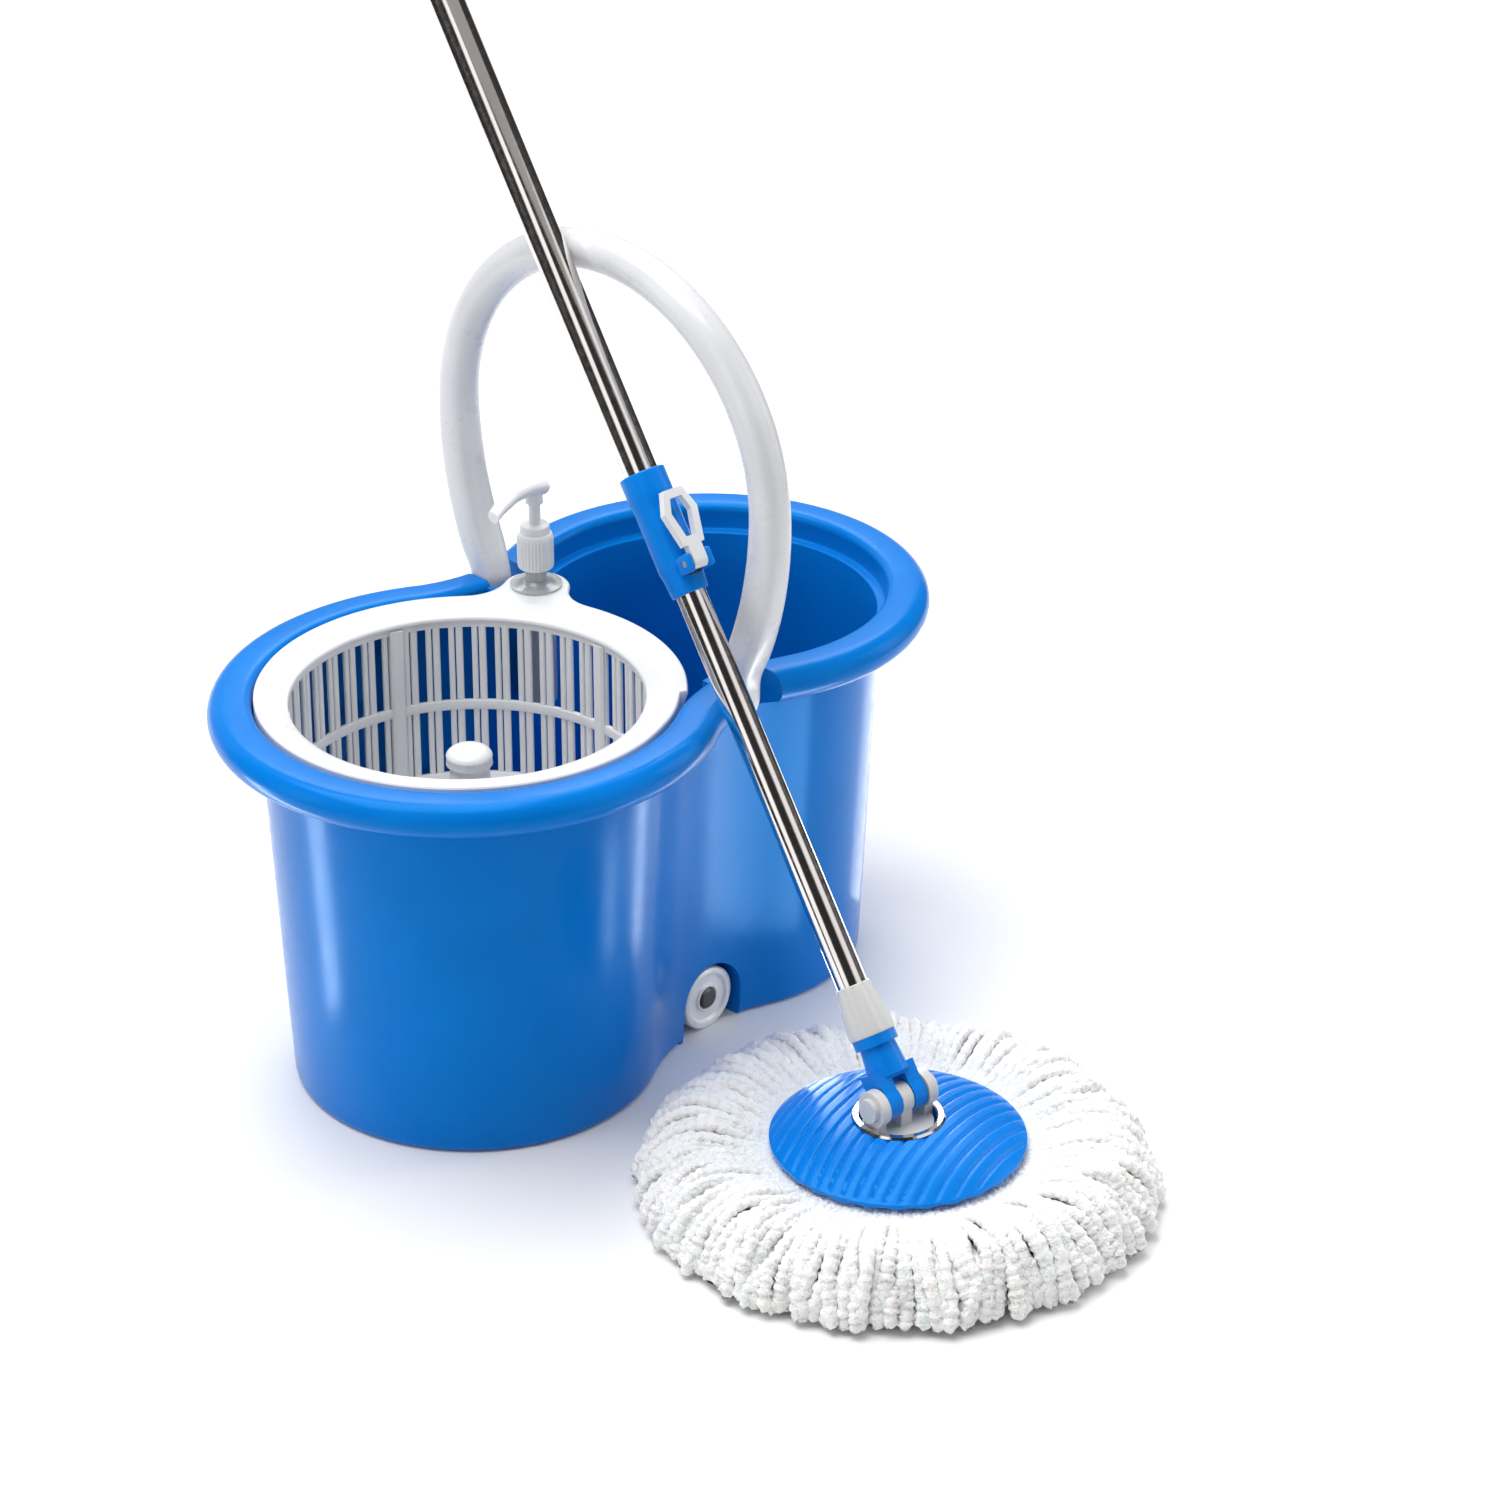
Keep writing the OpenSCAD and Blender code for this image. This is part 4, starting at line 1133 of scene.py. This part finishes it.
def make_floor():
    half = 4.0
    corners = [(-half, -half, 0), (half, -half, 0), (half, half, 0), (-half, half, 0)]
    floor = new_object("floor", corners, [(0, 1, 2, 3)])
    material = new_material("pale floor", (0.90, 0.90, 0.90), 0.65, specular=0.2)
    floor.data.materials.append(material)


def area_light(name, position, target, width, height, watts, colour=(1, 1, 1)):
    data = bpy.data.lights.new(name, "AREA")
    data.shape = "RECTANGLE"
    data.size = width
    data.size_y = height
    data.energy = watts
    data.color = colour
    light = bpy.data.objects.new(name, data)
    light.location = position
    light.rotation_euler = (Vector(target) - Vector(position)).to_track_quat("-Z", "Y").to_euler()
    bpy.context.scene.collection.objects.link(light)
    return light


def reflection_card(name, position, turn, width, height, strength):
    """An upright card that only shows in reflections, as a tall highlight or a dark streak."""
    half = width / 2
    corners = [(-half, 0, 0), (half, 0, 0), (half, 0, height), (-half, 0, height)]
    card = new_object(name, corners, [(0, 1, 2, 3)])
    card.data.transform(Matrix.Translation(position) @ Matrix.Rotation(math.radians(turn), 4, "Z"))
    material = bpy.data.materials.new(name)
    material.use_nodes = True
    shader = material.node_tree.nodes["Principled BSDF"]
    shader.inputs["Base Color"].default_value = (0, 0, 0, 1)
    shader.inputs["Specular IOR Level"].default_value = 0
    shader.inputs["Emission Color"].default_value = (1, 1, 1, 1)
    shader.inputs["Emission Strength"].default_value = strength
    card.data.materials.append(material)
    card.visible_camera = False
    card.visible_diffuse = False
    card.visible_shadow = False
    card.visible_transmission = False


def streak_card(name, start, end, strength):
    """A card standing round the pole between two compass angles, for the steel tubes to reflect."""
    reach = 1.2
    height = 1.6
    middle = math.radians((start + end) / 2)
    width = 2 * reach * math.tan(math.radians((end - start) / 2))
    x, y = polar(0, 0, reach, middle)
    reflection_card(name, (x, y, 0.0), (start + end) / 2 + 90, width, height, strength)


def make_lights():
    world = bpy.data.worlds.new("studio")
    world.use_nodes = True
    background = world.node_tree.nodes["Background"]
    background.inputs["Color"].default_value = (1, 1, 1, 1)
    background.inputs["Strength"].default_value = 0.38
    bpy.context.scene.world = world
    target = (0.0, -0.1, 0.15)
    area_light("overhead", (-0.5, 0.3, 2.7), target, 2.2, 2.2, 74)
    area_light("backdrop", (1.9, 1.8, 2.6), (1.9, 1.8, 0.0), 2.6, 2.6, 62)
    area_light("left", (-1.6, 0.7, 0.7), target, 0.5, 1.2, 5)
    area_light("right", (1.5, -1.0, 0.7), target, 0.5, 1.2, 9)
    streaks = (
        ("dark_left", 113, 184, 0.03), ("bright_left", 188, 210, 1.2),
        ("dark_front", 213, 262, 0.03), ("bright_right", 270, 302, 1.0),
        ("dark_right", 308, 375, 0.04),
    )
    for name, start, end, strength in streaks:
        streak_card(name, start, end, strength)
    reflection_card("strip_left", (-0.290, 0.090, 0.0), 43.5, 0.035, 0.20, 9)
    reflection_card("strip_right", (-0.020, -0.200, 0.0), 10, 0.032, 0.12, 5)
    reflection_card("strip_middle", (0.075, -0.164, 0.0), 6, 0.070, 0.18, 7)
    reflection_card("strip_rinse", (0.205, -0.075, 0.0), 103.5, 0.040, 0.20, 2.5)


def make_camera():
    """Camera 46.5 degrees round from -Y and 27.6 degrees up, with a long lens."""
    azimuth, elevation = math.radians(-46.53), math.radians(27.59)
    target = Vector((0.0572, -0.0715, 0.170))
    back = Vector((
        math.sin(azimuth) * math.cos(elevation),
        -math.cos(azimuth) * math.cos(elevation),
        math.sin(elevation),
    ))
    data = bpy.data.cameras.new("camera")
    data.sensor_width = 36
    data.lens = 113.8
    camera = bpy.data.objects.new("camera", data)
    distance = 2.7863
    camera.location = target + back * distance
    camera.rotation_euler = back.to_track_quat("Z", "Y").to_euler()
    bpy.context.scene.collection.objects.link(camera)
    bpy.context.scene.camera = camera


make_camera()
make_lights()
make_floor()
finish_cad_nodes()
make_bucket()
make_wheel(-1, "wheel_front", "wheel_near")
make_wheel(1, "wheel_back", "wheel_far")
make_tray()
make_basket()
make_hub()
make_handle()
make_pump_collar()
make_pump_head()
make_spring()
make_plate()
make_pad()
make_collar_nut()
make_sleeve()
bpy.context.scene.view_settings.view_transform = "Standard"
